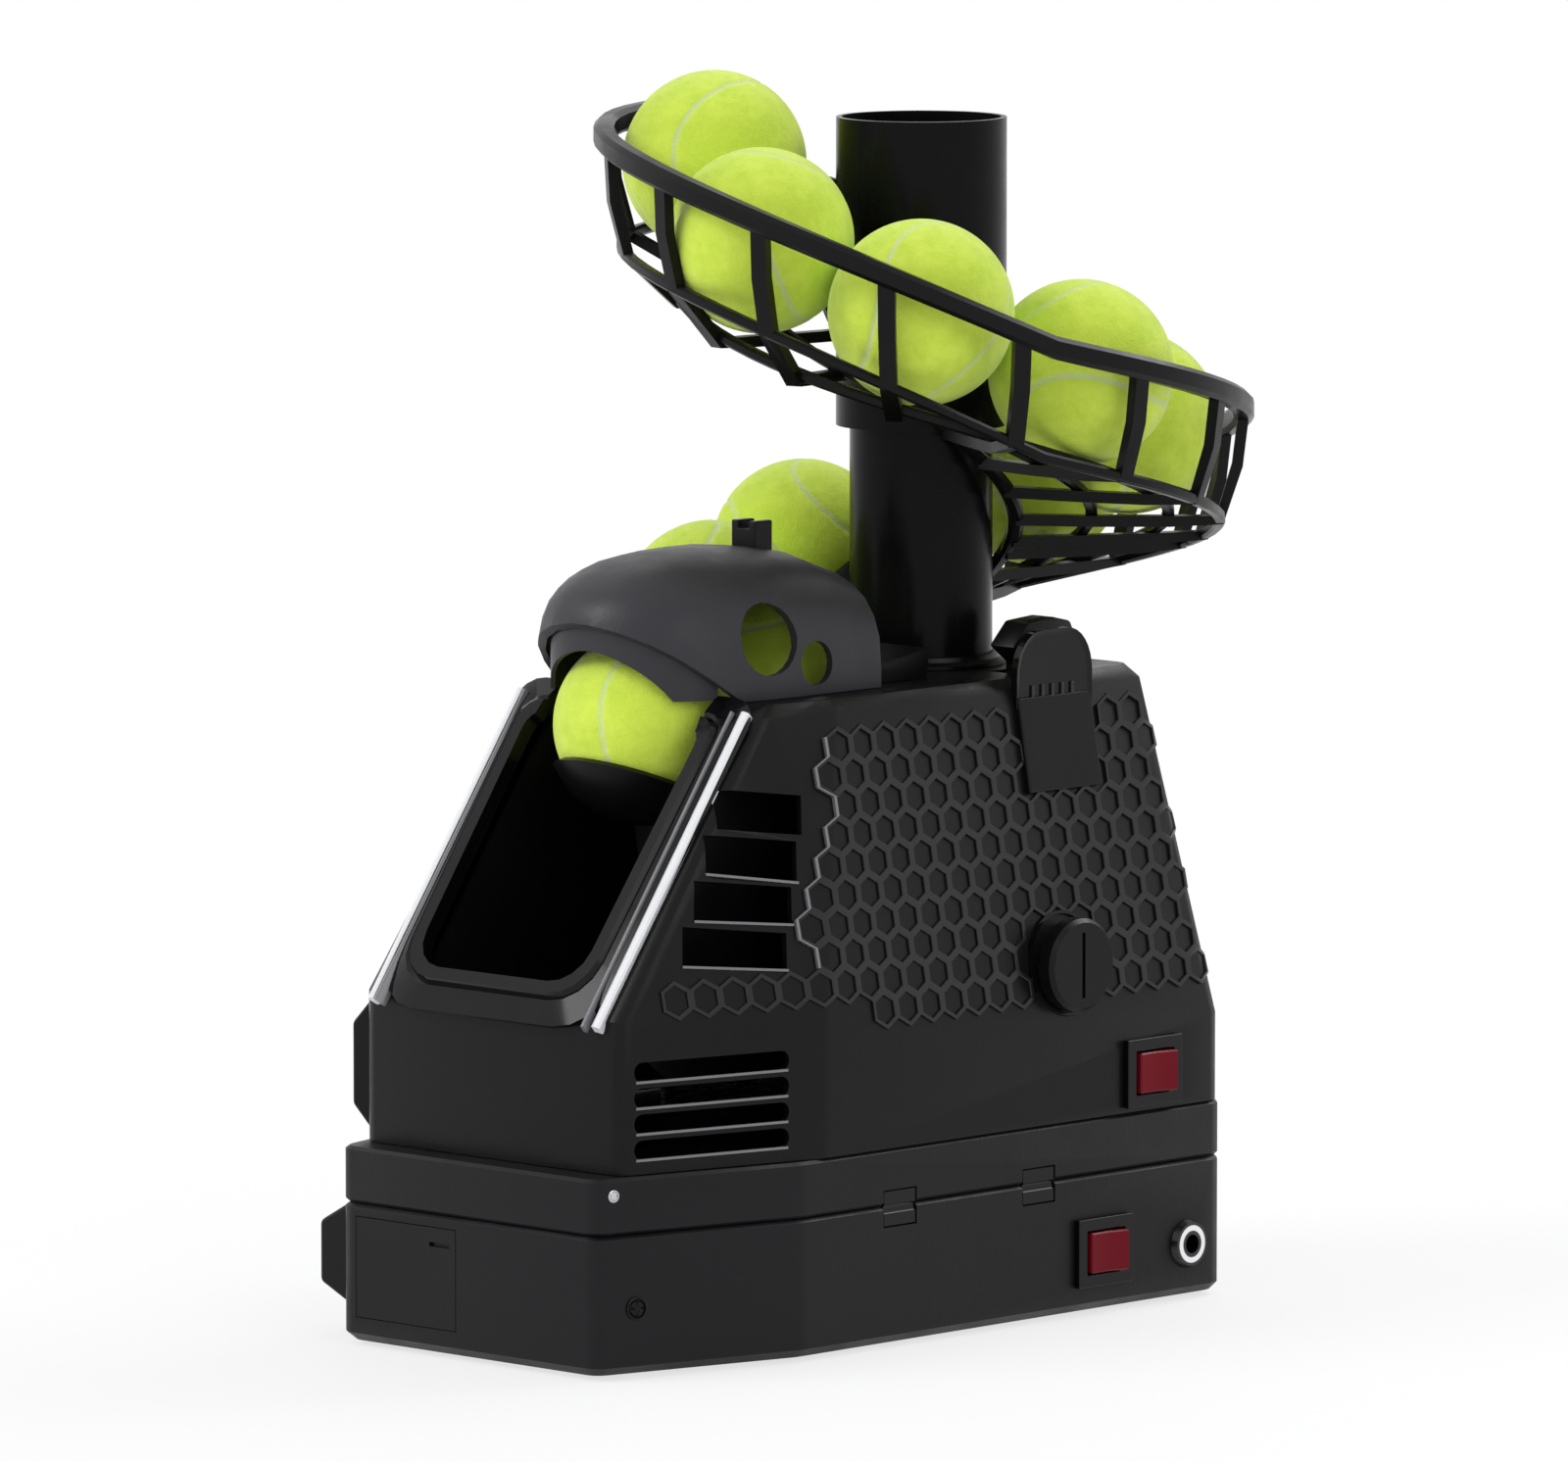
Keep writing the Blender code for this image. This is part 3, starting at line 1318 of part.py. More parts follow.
def gear_outline(teeth, phase=0.0):
    """A simple toothed outline whose pitch circle follows from the tooth size."""
    pitch = teeth * TOOTH_MODULE / 2
    outline = []
    for tooth in range(teeth):
        for share, height in ((-0.30, -1.15), (-0.16, 0.85), (0.16, 0.85), (0.30, -1.15)):
            turn = (tooth + share + phase) * math.tau / teeth
            radius = pitch + height * TOOTH_MODULE
            outline.append((radius * math.cos(turn), radius * math.sin(turn)))
    return outline


def gear_place(x):
    return Matrix((
        (0.0, 0.0, 1.0, x),
        (1.0, 0.0, 0.0, 0.0),
        (0.0, 1.0, 0.0, 0.0),
        (0.0, 0.0, 0.0, 1.0),
    ))


def make_gears():
    axis = Vector((GEAR_X, back(GEAR_SETBACK), ARM_PIVOT_HEIGHT))
    shape = bmesh.new()
    add_prism(shape, gear_outline(GEAR_TEETH), -GEAR_WIDTH / 2, GEAR_WIDTH / 2, gear_place(0.0))
    gear = finish_object("drive_gear", shape, NYLON)
    gear.location = axis
    pin = bmesh.new()
    add_rod(pin, (-GEAR_WIDTH / 2 - GEAR_PIN_LENGTH / 2 + GAP, 0.0, -GEAR_PIN_OFFSET), GEAR_PIN,
            GEAR_PIN_LENGTH + 2 * GAP, "X", 16)
    join(gear, "gear_pin", pin)
    bore = bmesh.new()
    add_rod(bore, (0, 0, 0), AXLE_RADIUS + GAP, 0.05, "X", 20)
    cut(gear, "gear_bore", bore)
    for piece in ("gear_pin", "gear_bore"):
        bpy.data.objects[piece].location = axis
    rod("gear_axle", (AXLE_X, axis.y, axis.z), AXLE_RADIUS, AXLE_LENGTH, STEEL, "X", 20)
    spacing = (GEAR_TEETH + PINION_TEETH) * TOOTH_MODULE / 2
    motor_axis = Vector((GEAR_X, axis.y + spacing, axis.z))
    shape = bmesh.new()
    add_prism(shape, gear_outline(PINION_TEETH, 0.5), -GEAR_WIDTH / 2, GEAR_WIDTH / 2, gear_place(0.0))
    pinion = finish_object("motor_pinion", shape, BRASS)
    pinion.location = motor_axis
    bore = bmesh.new()
    add_rod(bore, (0, 0, 0), MOTOR_SHAFT + GAP, 0.05, "X", 16)
    cut(pinion, "pinion_bore", bore)
    bpy.data.objects["pinion_bore"].location = motor_axis
    make_motor(motor_axis, axis)


def make_motor(motor_axis, gear_axis):
    """Motor can with its shaft, and the plate that holds it and the gear's axle."""
    can = bmesh.new()
    middle = (MOTOR_FRONT + MOTOR_REAR) / 2
    add_rod(can, (middle, motor_axis.y, motor_axis.z), MOTOR_RADIUS, MOTOR_REAR - MOTOR_FRONT, "X", 36)
    motor = finish_object("drive_motor", can, STEEL, smooth=True)
    shaft = bmesh.new()
    tip = GEAR_X - GEAR_WIDTH / 2 - 0.001
    reach = MOTOR_FRONT - tip + 0.002
    add_rod(shaft, (tip + reach / 2, motor_axis.y, motor_axis.z), MOTOR_SHAFT, reach, "X", 16)
    join(motor, "motor_shaft", shaft)
    low = SKIRT_TOP + GAP
    high = motor_axis.z + PLATE_MARGIN
    front = gear_axis.y - PLATE_MARGIN
    rear = motor_axis.y + PLATE_MARGIN
    plate = box(
        "gearbox_plate",
        (PLATE_X, (front + rear) / 2, (low + high) / 2),
        (PLATE_WIDTH, rear - front, high - low),
        STEEL,
    )
    shape = bmesh.new()
    add_rod(shape, (PLATE_X, motor_axis.y, motor_axis.z), MOTOR_SHAFT + 2 * GAP, 0.03, "X", 16)
    cut(plate, "plate_shaft_hole", shape)
    shape = bmesh.new()
    add_rod(shape, (PLATE_X, gear_axis.y, gear_axis.z), AXLE_RADIUS + GAP, 0.03, "X", 20)
    cut(plate, "plate_axle_hole", shape)
    return plate


def make_electrics():
    box("control_board", (BOARD_X, back(BOARD_SETBACK), SKIRT_TOP + GAP + BOARD_HEIGHT / 2),
        (BOARD_THICKNESS, BOARD_LENGTH, BOARD_HEIGHT), BOARD_GREEN)
    cells = bmesh.new()
    base = TRAY_FLOOR + GAP
    for row in range(CELL_ROWS):
        place = (0.0, back(CELL_SETBACK + row * CELL_PITCH), base + CELL_RADIUS)
        add_rod(cells, place, CELL_RADIUS, CELL_LENGTH, "X", 20)
    pack = finish_object("battery_cells", cells, CELL_BLUE)
    strap = bmesh.new()
    middle = CELL_SETBACK + (CELL_ROWS - 1) * CELL_PITCH / 2
    add_box(strap, (0.0, back(middle), base + CELL_RADIUS), (STRAP_WIDTH, (CELL_ROWS - 1) * CELL_PITCH, STRAP_HEIGHT))
    join(pack, "cell_strap", strap)


# Controls

def make_rocker(name, setback, height):
    """Panel switch: a frame plugged into the wall and a red rocker that tips in it."""
    face = BASE_HALF
    shape = bmesh.new()
    depth = SWITCH_DEPTH
    size = (depth, ROCKER_LENGTH + 2 * FLANGE_EDGE - 2 * GAP, ROCKER_HEIGHT + 2 * FLANGE_EDGE - 2 * GAP)
    add_box(shape, (face - depth / 2 + FLANGE / 2, back(setback), height), size)
    frame = finish_object(f"{name}_frame", shape, GLOSS_BLACK)
    flange = bmesh.new()
    rim = 2 * (FLANGE + FLANGE_EDGE)
    add_box(flange, (face + GAP + FLANGE / 2, back(setback), height),
            (FLANGE, ROCKER_LENGTH + rim, ROCKER_HEIGHT + rim))
    join(frame, f"{name}_flange", flange)
    well = bmesh.new()
    add_box(well, (face + FLANGE - SWITCH_WELL / 2, back(setback), height),
            (SWITCH_WELL + 2 * FLANGE, ROCKER_LENGTH - 2 * GAP, ROCKER_HEIGHT - 2 * GAP))
    cut(frame, f"{name}_well", well)
    place = Vector((face + GAP, back(setback), height))
    half = ROCKER_LENGTH / 2 - 4.5 * GAP
    drop = half * math.tan(ROCKER_TILT)
    crown = ROCKER_CROWN
    outline = [
        (-half, crown - drop), (0.0, crown - ROCKER_DISH), (half, crown + drop),
        (half, -drop), (half * 0.35, -ROCKER_BELLY), (-half * 0.35, -ROCKER_BELLY), (-half, -2 * drop),
    ]
    button = bmesh.new()
    turn = Matrix((
        (0.0, 1.0, 0.0, 0.0),
        (1.0, 0.0, 0.0, 0.0),
        (0.0, 0.0, 1.0, 0.0),
        (0.0, 0.0, 0.0, 1.0),
    ))
    tall = ROCKER_HEIGHT / 2 - 3 * GAP
    add_prism(button, outline, -tall, tall, turn)
    rocker = finish_object(f"{name}_rocker", button, SWITCH_RED)
    rocker.location = place
    round_edges(rocker, 0.0005, 1, 60)


def make_dial():
    """Round speed dial on a stem, with a fixed ring against the wall."""
    foot = Vector((dial_face(), back(DIAL_SETBACK), DIAL_HEIGHT))
    profile = [
        (0.0, DIAL_LENGTH), (DIAL_RADIUS - DIAL_SOFT, DIAL_LENGTH), (DIAL_RADIUS, DIAL_LENGTH - DIAL_SOFT),
        (DIAL_RADIUS, DIAL_STAND), (DIAL_STEM, DIAL_STAND), (DIAL_STEM, -DIAL_REACH), (0.0, -DIAL_REACH),
    ]
    dial = turned("speed_dial", profile, BODY_BLACK, foot, "X", 32)
    finger = bmesh.new()
    add_box(finger, foot + Vector((DIAL_LENGTH, 0.0, 0.0)), (2 * DIAL_MARK, DIAL_MARK, 1.4 * DIAL_RADIUS))
    cut(dial, "dial_mark", finger)
    return dial


def dial_face():
    """X of the housing's side at the dial's height."""
    front = FACET_SETBACK + HOUSING_SETBACK
    along = (DIAL_SETBACK - front) / (BASE_LENGTH - front)
    knee = KNEE_FACET + (KNEE_REAR - KNEE_FACET) * along
    top = TOP_FACET_HALF + (TOP_REAR_HALF - TOP_FACET_HALF) * along
    share = (DIAL_HEIGHT - knee) / (HOUSING_TOP - knee)
    return BASE_HALF - share * (BASE_HALF - top)


def make_dial_pot():
    """Potentiometer behind the wall that the dial's stem turns in."""
    rear = dial_face() - POT_INSET
    shape = bmesh.new()
    place = (rear - POT_LENGTH / 2, back(DIAL_SETBACK), DIAL_HEIGHT)
    add_rod(shape, place, POT_RADIUS, POT_LENGTH, "X", 24)
    pot = finish_object("dial_sensor", shape, STEEL, smooth=True)
    bore = bmesh.new()
    add_rod(bore, (rear, back(DIAL_SETBACK), DIAL_HEIGHT), DIAL_STEM + 2 * GAP,
            2 * (DIAL_REACH - POT_INSET) + 4 * GAP, "X", 16)
    return cut(pot, "pot_bore", bore)


def make_jack():
    """Round power socket: a black barrel in the tray's wall with a bright ring."""
    place = (BASE_HALF, back(JACK_SETBACK), JACK_HEIGHT)
    inner = JACK_BARREL - GAP
    profile = [
        (JACK_RADIUS - FLANGE_EDGE, JACK_STAND), (JACK_RADIUS - FLANGE_EDGE / 2, GAP),
        (inner, GAP), (inner, -JACK_DEPTH), (JACK_BORE, -JACK_DEPTH), (JACK_BORE, JACK_STAND),
    ]
    return turned("power_jack", profile, STEEL, place, "X", 32)


def make_lever():
    """Flat lever that stands out of the housing's top and sets the throw."""
    top = LEVER_TOP
    half = LEVER_SLOT / 2 - 3 * GAP
    outline = [
        (-LEVER_FOOT, -LEVER_DROP), (LEVER_FOOT, -LEVER_DROP), (LEVER_FOOT, GAP * 10),
        (LEVER_HEAD, top * 0.55), (LEVER_HEAD * 0.8, top * 0.9), (LEVER_HEAD * 0.3, top),
        (-LEVER_HEAD * 0.5, top * 0.95), (-LEVER_HEAD, top * 0.5), (-LEVER_FOOT, GAP * 10),
    ]
    shape = bmesh.new()
    turn = Matrix((
        (0.0, 0.0, 1.0, 0.0),
        (1.0, 0.0, 0.0, 0.0),
        (0.0, 1.0, 0.0, 0.0),
        (0.0, 0.0, 0.0, 1.0),
    ))
    add_prism(shape, outline, -half, half, turn)
    lever = finish_object("angle_lever", shape, BODY_BLACK)
    lever.location = (LEVER_X, back(LEVER_SETBACK), HOUSING_TOP)
    round_edges(lever, 0.001, 2, 25)


# Hood

def hood_ring(setback, half, crown, foot, tuck):
    """Arch across the housing at one distance back: straight feet under a round crown."""
    points = []
    spring = foot + (crown - foot) * HOOD_SPRING
    points.append((half - tuck, back(setback), foot))
    for step in range(HOOD_STEPS + 1):
        turn = math.pi * step / HOOD_STEPS
        x = half * math.copysign(abs(math.cos(turn)) ** HOOD_SQUARE, math.cos(turn))
        z = spring + (crown - spring) * abs(math.sin(turn)) ** HOOD_SQUARE
        points.append((x, back(setback), z))
    points.append((-half + tuck, back(setback), foot))
    return points


def hood_fullness(setback, nose):
    """Share of its full width and height that the hood has at one distance back from its nose."""
    share = min((setback - nose) / (HOOD_FULL - nose), 1.0)
    return (1.0 - (1.0 - share) ** HOOD_ROUND) ** (1.0 / HOOD_ROUND)


def hood_shell(inset):
    """Arches from the round nose to the open back, crowded together near the nose."""
    nose = HOOD_NOSE + inset
    first = nose + HOOD_FIRST_RING
    rings = []
    for ring in range(HOOD_RINGS + 1):
        setback = first + (HOOD_REAR - first) * (ring / HOOD_RINGS) ** HOOD_CROWDING
        full = hood_fullness(setback, nose)
        past = max(setback - HOOD_PEAK, 0.0) / (HOOD_REAR - HOOD_PEAK)
        crown = HOOD_NOSE_HEIGHT + (HOOD_CROWN - inset - HOOD_NOSE_HEIGHT) * full - HOOD_DROOP * past**2
        rings.append(hood_ring(setback, (HOOD_HALF - inset) * full, crown, HOUSING_TOP + GAP - 2 * inset, 0.0))
    return rings


def brow_cut():
    """Space under the hood's front edge, which climbs forward from the housing's top."""
    low = HOUSING_TOP - HOOD_WALL
    brow = HOUSING_TOP + BROW_LIFT
    reach = BROW_SETBACK - HOOD_NOSE + 2 * HOOD_WALL
    outline = [
        (BROW_SETBACK, low), (BROW_SETBACK, brow),
        (BROW_SETBACK - reach, brow + reach * BROW_SLOPE), (BROW_SETBACK - reach, low),
    ]
    return bay_prism(outline, 2 * HOOD_HALF)


def make_hood():
    """Domed visor over the mouth: a closed nose, and an open back where the balls come in."""
    shape = bmesh.new()
    add_loft(shape, hood_shell(0.0))
    hood = finish_object("hood", shape, HOOD_GREY, smooth=True)
    inner = bmesh.new()
    rings = hood_shell(HOOD_WALL)
    last = [(x, y + HOOD_WALL * 4, z) for x, y, z in rings[-1]]
    add_loft(inner, rings[:-1] + [last])
    cut(hood, "hood_hollow", inner)
    cut(hood, "hood_brow", brow_cut())
    clear_chute(hood, "hood")
    holes = bmesh.new()
    for setback, height, radius in HOOD_HOLES:
        add_rod(holes, (HOOD_HALF, back(setback), height), radius, 0.03, "X", 20)
    return cut(hood, "hood_holes", holes)


def main():
    make_tray()
    make_skirt()
    make_screws()
    make_feet()
    make_latches()
    make_door()
    make_housing()
    make_mouth_frame()
    make_chute()
    make_post()
    make_hub()
    make_baskets()
    make_end_plate()
    make_balls()
    make_bay()
    make_arm()
    make_shaft()
    make_crank()
    make_spring()
    make_gears()
    make_electrics()
    make_rocker("power_switch", POWER_SETBACK, POWER_HEIGHT)
    make_rocker("pack_switch", PACK_SETBACK, PACK_HEIGHT)
    make_dial()
    make_dial_pot()
    make_jack()
    make_lever()
    make_hood()


main()
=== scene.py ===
"""Looks for the table-top ball machine: finishes, felt balls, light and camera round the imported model.

Sizes are in metres. Heights are above the floor, and a setback is a distance back from the base's front face.
"""

import json
import math

import bmesh
import bpy
from mathutils import Matrix, Vector
from mathutils.bvhtree import BVHTree
from mathutils.kdtree import KDTree


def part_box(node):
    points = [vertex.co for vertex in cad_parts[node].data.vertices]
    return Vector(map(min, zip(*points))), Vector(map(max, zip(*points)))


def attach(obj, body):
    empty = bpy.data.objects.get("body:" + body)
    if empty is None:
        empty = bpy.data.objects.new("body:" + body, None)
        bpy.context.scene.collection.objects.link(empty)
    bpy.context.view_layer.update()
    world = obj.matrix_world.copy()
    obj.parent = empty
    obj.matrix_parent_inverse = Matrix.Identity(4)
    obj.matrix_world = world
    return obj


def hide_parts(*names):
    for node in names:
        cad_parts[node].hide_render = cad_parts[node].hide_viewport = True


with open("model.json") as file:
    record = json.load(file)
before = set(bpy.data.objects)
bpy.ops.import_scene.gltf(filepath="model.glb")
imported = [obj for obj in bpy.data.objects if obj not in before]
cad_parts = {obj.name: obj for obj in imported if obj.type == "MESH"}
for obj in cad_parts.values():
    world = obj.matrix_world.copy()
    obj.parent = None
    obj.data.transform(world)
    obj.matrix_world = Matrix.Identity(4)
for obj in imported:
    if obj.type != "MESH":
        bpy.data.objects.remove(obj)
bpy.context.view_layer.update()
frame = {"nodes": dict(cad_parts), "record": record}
NODES = frame["nodes"]

# Camera, at the photograph's place and direction
CAMERA_PLACE = (3.4821, -3.6350, 0.7887)
CAMERA_TARGET = (0.0, -0.0156, 0.2117)
CAMERA_SENSOR = 36.0
CAMERA_LENS = 322.0

# Balls
BALL_RADIUS = 0.0335
BALL_LEVELS = 6
SEAM_WIDTH = 0.0011
SEAM_DEPTH = 0.0005
SEAM_SWING = 0.44
SEAM_POINTS = 720
BALL_COUNT = 10
BALL_TILT = 1.9
BALL_SPIN = 2.7

# Light
WORLD_LEVEL = 0.66
WORLD_COLOUR = (0.80, 0.81, 0.83, 1.0)
KEY_POWER = 50.0
FILL_POWER = 9.0
RIM_POWER = 44.0
LAMPS = (
    ("key", (-1.4, -2.4, 2.2), 1.6, KEY_POWER),
    ("fill", (2.6, -0.6, 1.5), 1.4, FILL_POWER),
    ("rim", (0.3, 2.2, 2.4), 1.6, RIM_POWER),
)
LAMP_TARGET = (0.0, 0.0, 0.2)
FLOOR_HALF = 30.0
FLOOR_DROP = 0.0002
FLOOR_SCALE = 3.0
FLOOR_TONES = ((0.93, 0.93, 0.93), (0.95, 0.95, 0.95))
FLOOR_ROUGHNESS = 0.65
FLOOR_GLOW = 0.72
FLOOR_NEAR = 0.45
FLOOR_FAR = 1.10

# Front face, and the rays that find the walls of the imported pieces
FRONT_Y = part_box("battery_tray")[0][1]
RAY_START = 0.2
WALL_FACING = 0.5
WALL_LEAST = 0.04
SLOT_FACING = 0.3
SINK = 0.0004

# Smoothing, and the width of the soft edges of some pieces
WELD_REACH = 0.00002
SHARP_ANGLE = math.radians(34)
PIECE_SHARP = math.radians(35)
PIECE_BEVEL_ANGLE = math.radians(30)
SOFT_EDGES = (
    ("battery_tray", 0.0009), ("chassis_deck", 0.0009), ("housing", 0.0009), ("mouth_frame", 0.0007),
    ("power_switch_frame", 0.0004), ("pack_switch_frame", 0.0004), ("speed_dial", 0.0004),
)

# Honeycomb relief on the housing's sides
CELL_PITCH = 0.0120
CELL_RIDGE = 0.0024
CELL_RISE = 0.0009
CELL_CHAMFER = 0.0003
CELL_TOP = 0.2235
CELL_ROW = CELL_PITCH * math.sqrt(3) / 2
CELL_RADIUS = CELL_PITCH / math.sqrt(3)
CELL_FIRST_ROW = 0.6
CELL_MARGIN = 0.62
CELL_COLUMNS = 26
GUIDE_ROOM = 0.0030
KNEE_FRONT = (0.083, 0.1160)
KNEE_REAR = (0.297, 0.1040)
SCALLOP_LOW = (0.090, 0.1400)
SCALLOP_HIGH = (0.113, 0.2060)
FACET_ROW_FRONT = 0.028
EDGE_LINE_WIDTH = 0.0013
EDGE_LINE_RISE = 0.0013
DIAL_ROOM = 0.0195
SWITCH_ROOM = 0.0050

# Louvre lips, found from a column of places at two setbacks and two heights, and the ring round the dial
LOUVRE_ZONES = ((0.050, 0.067, 0.1240, 0.2100), (0.046, 0.046, 0.0760, 0.1150))
LOUVRE_DEPTH = 0.0450
LOUVRE_STEP = 0.0004
LOUVRE_REACH = 100
LOUVRE_INSIDE = 4
LIP_RISE = 0.0006
LIP_WIDTH = 0.0009
LIP_SPAN = 0.0080
DIAL_RING_RADIUS = 0.0182
DIAL_RING_WIDTH = 0.0020
DIAL_RING_RISE = 0.0012
DIAL_RING_STEPS = 64
DIAL_RING_SECTION = ((-1.0, -SINK), (-0.6, DIAL_RING_RISE), (0.6, DIAL_RING_RISE), (1.0, -SINK))

# Plate under the lever: two setbacks and two heights
GUIDE = (0.2150, 0.2540, 0.1900, 0.2240)
GUIDE_RISE = 0.0022
GUIDE_BEVEL = 0.0008
GUIDE_STEPS = 6

# Bright lines down the sides of the mouth's frame: raised strips whose pale finish is a painted highlight
TRIM_FOUND = (0.1580, 0.1920)
TRIM_ENDS = (0.1240, 0.2290)
STRIP_X = 0.0562
STRIP_WIDTH = 0.0034
BEAD_X = 0.0515
BEAD_WIDTH = 0.0016
TRIM_RISE = 0.0009
TRIM_EDGE = 0.3
TRIM_LEAN = 0.31
TRIM_FACING = (-0.77, 0.56)
TRIM_DEPTH = 0.0038
TRIM_SECTION = (
    (-0.5, -TRIM_DEPTH), (-0.5, TRIM_RISE * TRIM_EDGE), (-0.25, TRIM_RISE),
    (0.25, TRIM_RISE), (0.5, TRIM_RISE * TRIM_EDGE), (0.5, -TRIM_DEPTH),
)

# Covers on the left side: the piece that holds each, setbacks, heights, how proud it stands, and its slant
TRAY_COVER = ("battery_tray", 0.012, 0.060, 0.0120, 0.0490, 0.0165, 0.0075)
BODY_COVER = ("housing", 0.022, 0.062, 0.0730, 0.1225, 0.0115, 0.0100)
COVER_EDGE = 0.25
COVER_RINGS = 9
COVER_BEVEL = 0.0016

# Clip on the hood, and the guard beside the lever
CLIP_SETBACK = 0.1450
CLIP_HALF = 0.0060
CLIP_HEIGHT = 0.0100
CLIP_LENGTH = 0.0090
CLIP_SINK = 0.0020
CLIP_FOOT = -0.0040
CLIP_BEVEL = 0.0006
CLIP_NOTCH = 0.45
CLIP_NOTCH_FLOOR = 0.72
GUARD_MIDDLE = 0.2345
GUARD_HALF = 0.0200
GUARD_TOP = 0.2480
GUARD_FOOT = 0.2200
GUARD_CORNER = 0.0130
GUARD_TALL = 1.25
GUARD_THICK = 0.0034
GUARD_STEPS = 8
GUARD_BORDER = 0.0026
GUARD_RECESS = 0.0012
GUARD_BEVEL = 0.0004
GUARD_RIBS = 5
GUARD_FIRST_RIB = -0.55
GUARD_RIB_STEP = 0.26
GUARD_RIB_LIFT = 0.0055
GUARD_RIB_BEVEL = 0.0003
GUARD_RIB_SIZE = (0.0016, 0.0016, 0.0055)

# Apron under the hood's front edge
APRON_INSET = 0.0050
APRON_WALL = 0.0016
APRON_ROOM = 0.0018
APRON_STEPS = 40
APRON_START = 0.08
APRON_END = 0.0010
APRON_LAP = 0.0035
APRON_LEAST = 0.0020
APRON_AIM = 0.0200
HOOD_NOSE = 0.0560
HOOD_FULL = 0.1180
HOOD_HALF = 0.0480
HOOD_ROUND = 2.4
BROW_SETBACK = 0.0920
BROW_SLOPE = 0.75

# Finishes: noise scales per metre, and the values that the shaders share
CLOUD_SCALE = 14.0
SMEAR_SCALE = 45.0
STREAK_SCALE = 120.0
PLASTIC_IOR = 1.49
COAT_ROUGHNESS = 0.08
SOCKET_RING = (0.54, 0.76)
SOCKET_BLACK = (0.004, 0.004, 0.005, 1.0)
SOCKET_CHROME = (0.85, 0.85, 0.87, 1.0)
FELT_CLUMPS = 90.0
FELT_FIBRES = 1400.0
FELT_PATCHES = 18.0
FELT_DEEP = (0.54, 0.75, 0.050)
FELT_BRIGHT = (0.78, 0.94, 0.115)
FELT_WORN = (0.68, 0.88, 0.080)
SEAM_RUBBER = (0.66, 0.80, 0.34)

# Screws: name, the piece that holds each, setback, height and radius, with a profile in radii
SCREWS = (
    ("tray_screw", "battery_tray", 0.0160, 0.0250, 0.0042),
    ("deck_screw", "chassis_deck", 0.0070, 0.0655, 0.0022),
)
SCREW_STEPS = 24
SCREW_BRIGHT = 0.0030
SCREW_CROSS = 0.12
SCREW_CROSS_REACH = 0.70
SCREW_CROSS_STEPS = 6
SCREW_PROFILE = (
    (1.00, -0.30), (1.00, 0.16), (0.86, 0.22), (0.80, 0.05),
    (0.74, 0.05), (0.62, 0.20), (0.30, 0.27),
)


# Material helpers

def new_material(name):
    made = bpy.data.materials.new(name)
    made.use_nodes = True
    tree = made.node_tree
    return made, tree.nodes, tree.links, tree.nodes["Principled BSDF"]


def add_node(nodes, kind, **values):
    node = nodes.new(kind)
    for key, value in values.items():
        setattr(node, key, value)
    return node


def add_noise(nodes, links, coordinates, scale, detail=4.0, roughness=0.55):
    noise = add_node(nodes, "ShaderNodeTexNoise")
    noise.inputs["Scale"].default_value = scale
    noise.inputs["Detail"].default_value = detail
    noise.inputs["Roughness"].default_value = roughness
    links.new(coordinates, noise.inputs["Vector"])
    return noise.outputs["Fac"]


def add_range(nodes, links, value, low, high, start=0.35, end=0.65):
    change = add_node(nodes, "ShaderNodeMapRange")
    change.inputs["From Min"].default_value = start
    change.inputs["From Max"].default_value = end
    change.inputs["To Min"].default_value = low
    change.inputs["To Max"].default_value = high
    links.new(value, change.inputs["Value"])
    return change.outputs["Result"]


def add_mix(nodes, links, share, first, second):
    mix = add_node(nodes, "ShaderNodeMix", data_type="RGBA")
    links.new(share, mix.inputs["Factor"])
    for socket, colour in (("A", first), ("B", second)):
        slot = [item for item in mix.inputs if item.name == socket and item.type == "RGBA"][0]
        if isinstance(colour, tuple):
            slot.default_value = (*colour, 1.0)
        else:
            links.new(colour, slot)
    return [item for item in mix.outputs if item.type == "RGBA"][0]


def add_bump(nodes, links, height, distance, strength=1.0, base=None):
    bump = add_node(nodes, "ShaderNodeBump")
    bump.inputs["Strength"].default_value = strength
    bump.inputs["Distance"].default_value = distance
    links.new(height, bump.inputs["Height"])
    if base:
        links.new(base, bump.inputs["Normal"])
    return bump.outputs["Normal"]


def place_coordinates(nodes):
    return add_node(nodes, "ShaderNodeTexCoord").outputs["Object"]


def plastic(name, dark, light, low, high, grain=0.0, grain_scale=900.0, coat=0.0, shine=0.5):
    """Moulded plastic: two close shades, roughness that drifts, and a fine moulded grain."""
    made, nodes, links, shader = new_material(name)
    place = place_coordinates(nodes)
    cloud = add_noise(nodes, links, place, CLOUD_SCALE)
    links.new(add_mix(nodes, links, cloud, dark, light), shader.inputs["Base Color"])
    smear = add_noise(nodes, links, place, SMEAR_SCALE, 6.0, 0.6)
    links.new(add_range(nodes, links, smear, low, high), shader.inputs["Roughness"])
    shader.inputs["IOR"].default_value = PLASTIC_IOR
    shader.inputs["Specular IOR Level"].default_value = shine
    if coat:
        shader.inputs["Coat Weight"].default_value = coat
        shader.inputs["Coat Roughness"].default_value = COAT_ROUGHNESS
    if grain:
        fine = add_noise(nodes, links, place, grain_scale, 2.0, 0.5)
        links.new(add_bump(nodes, links, fine, grain), shader.inputs["Normal"])
    return made


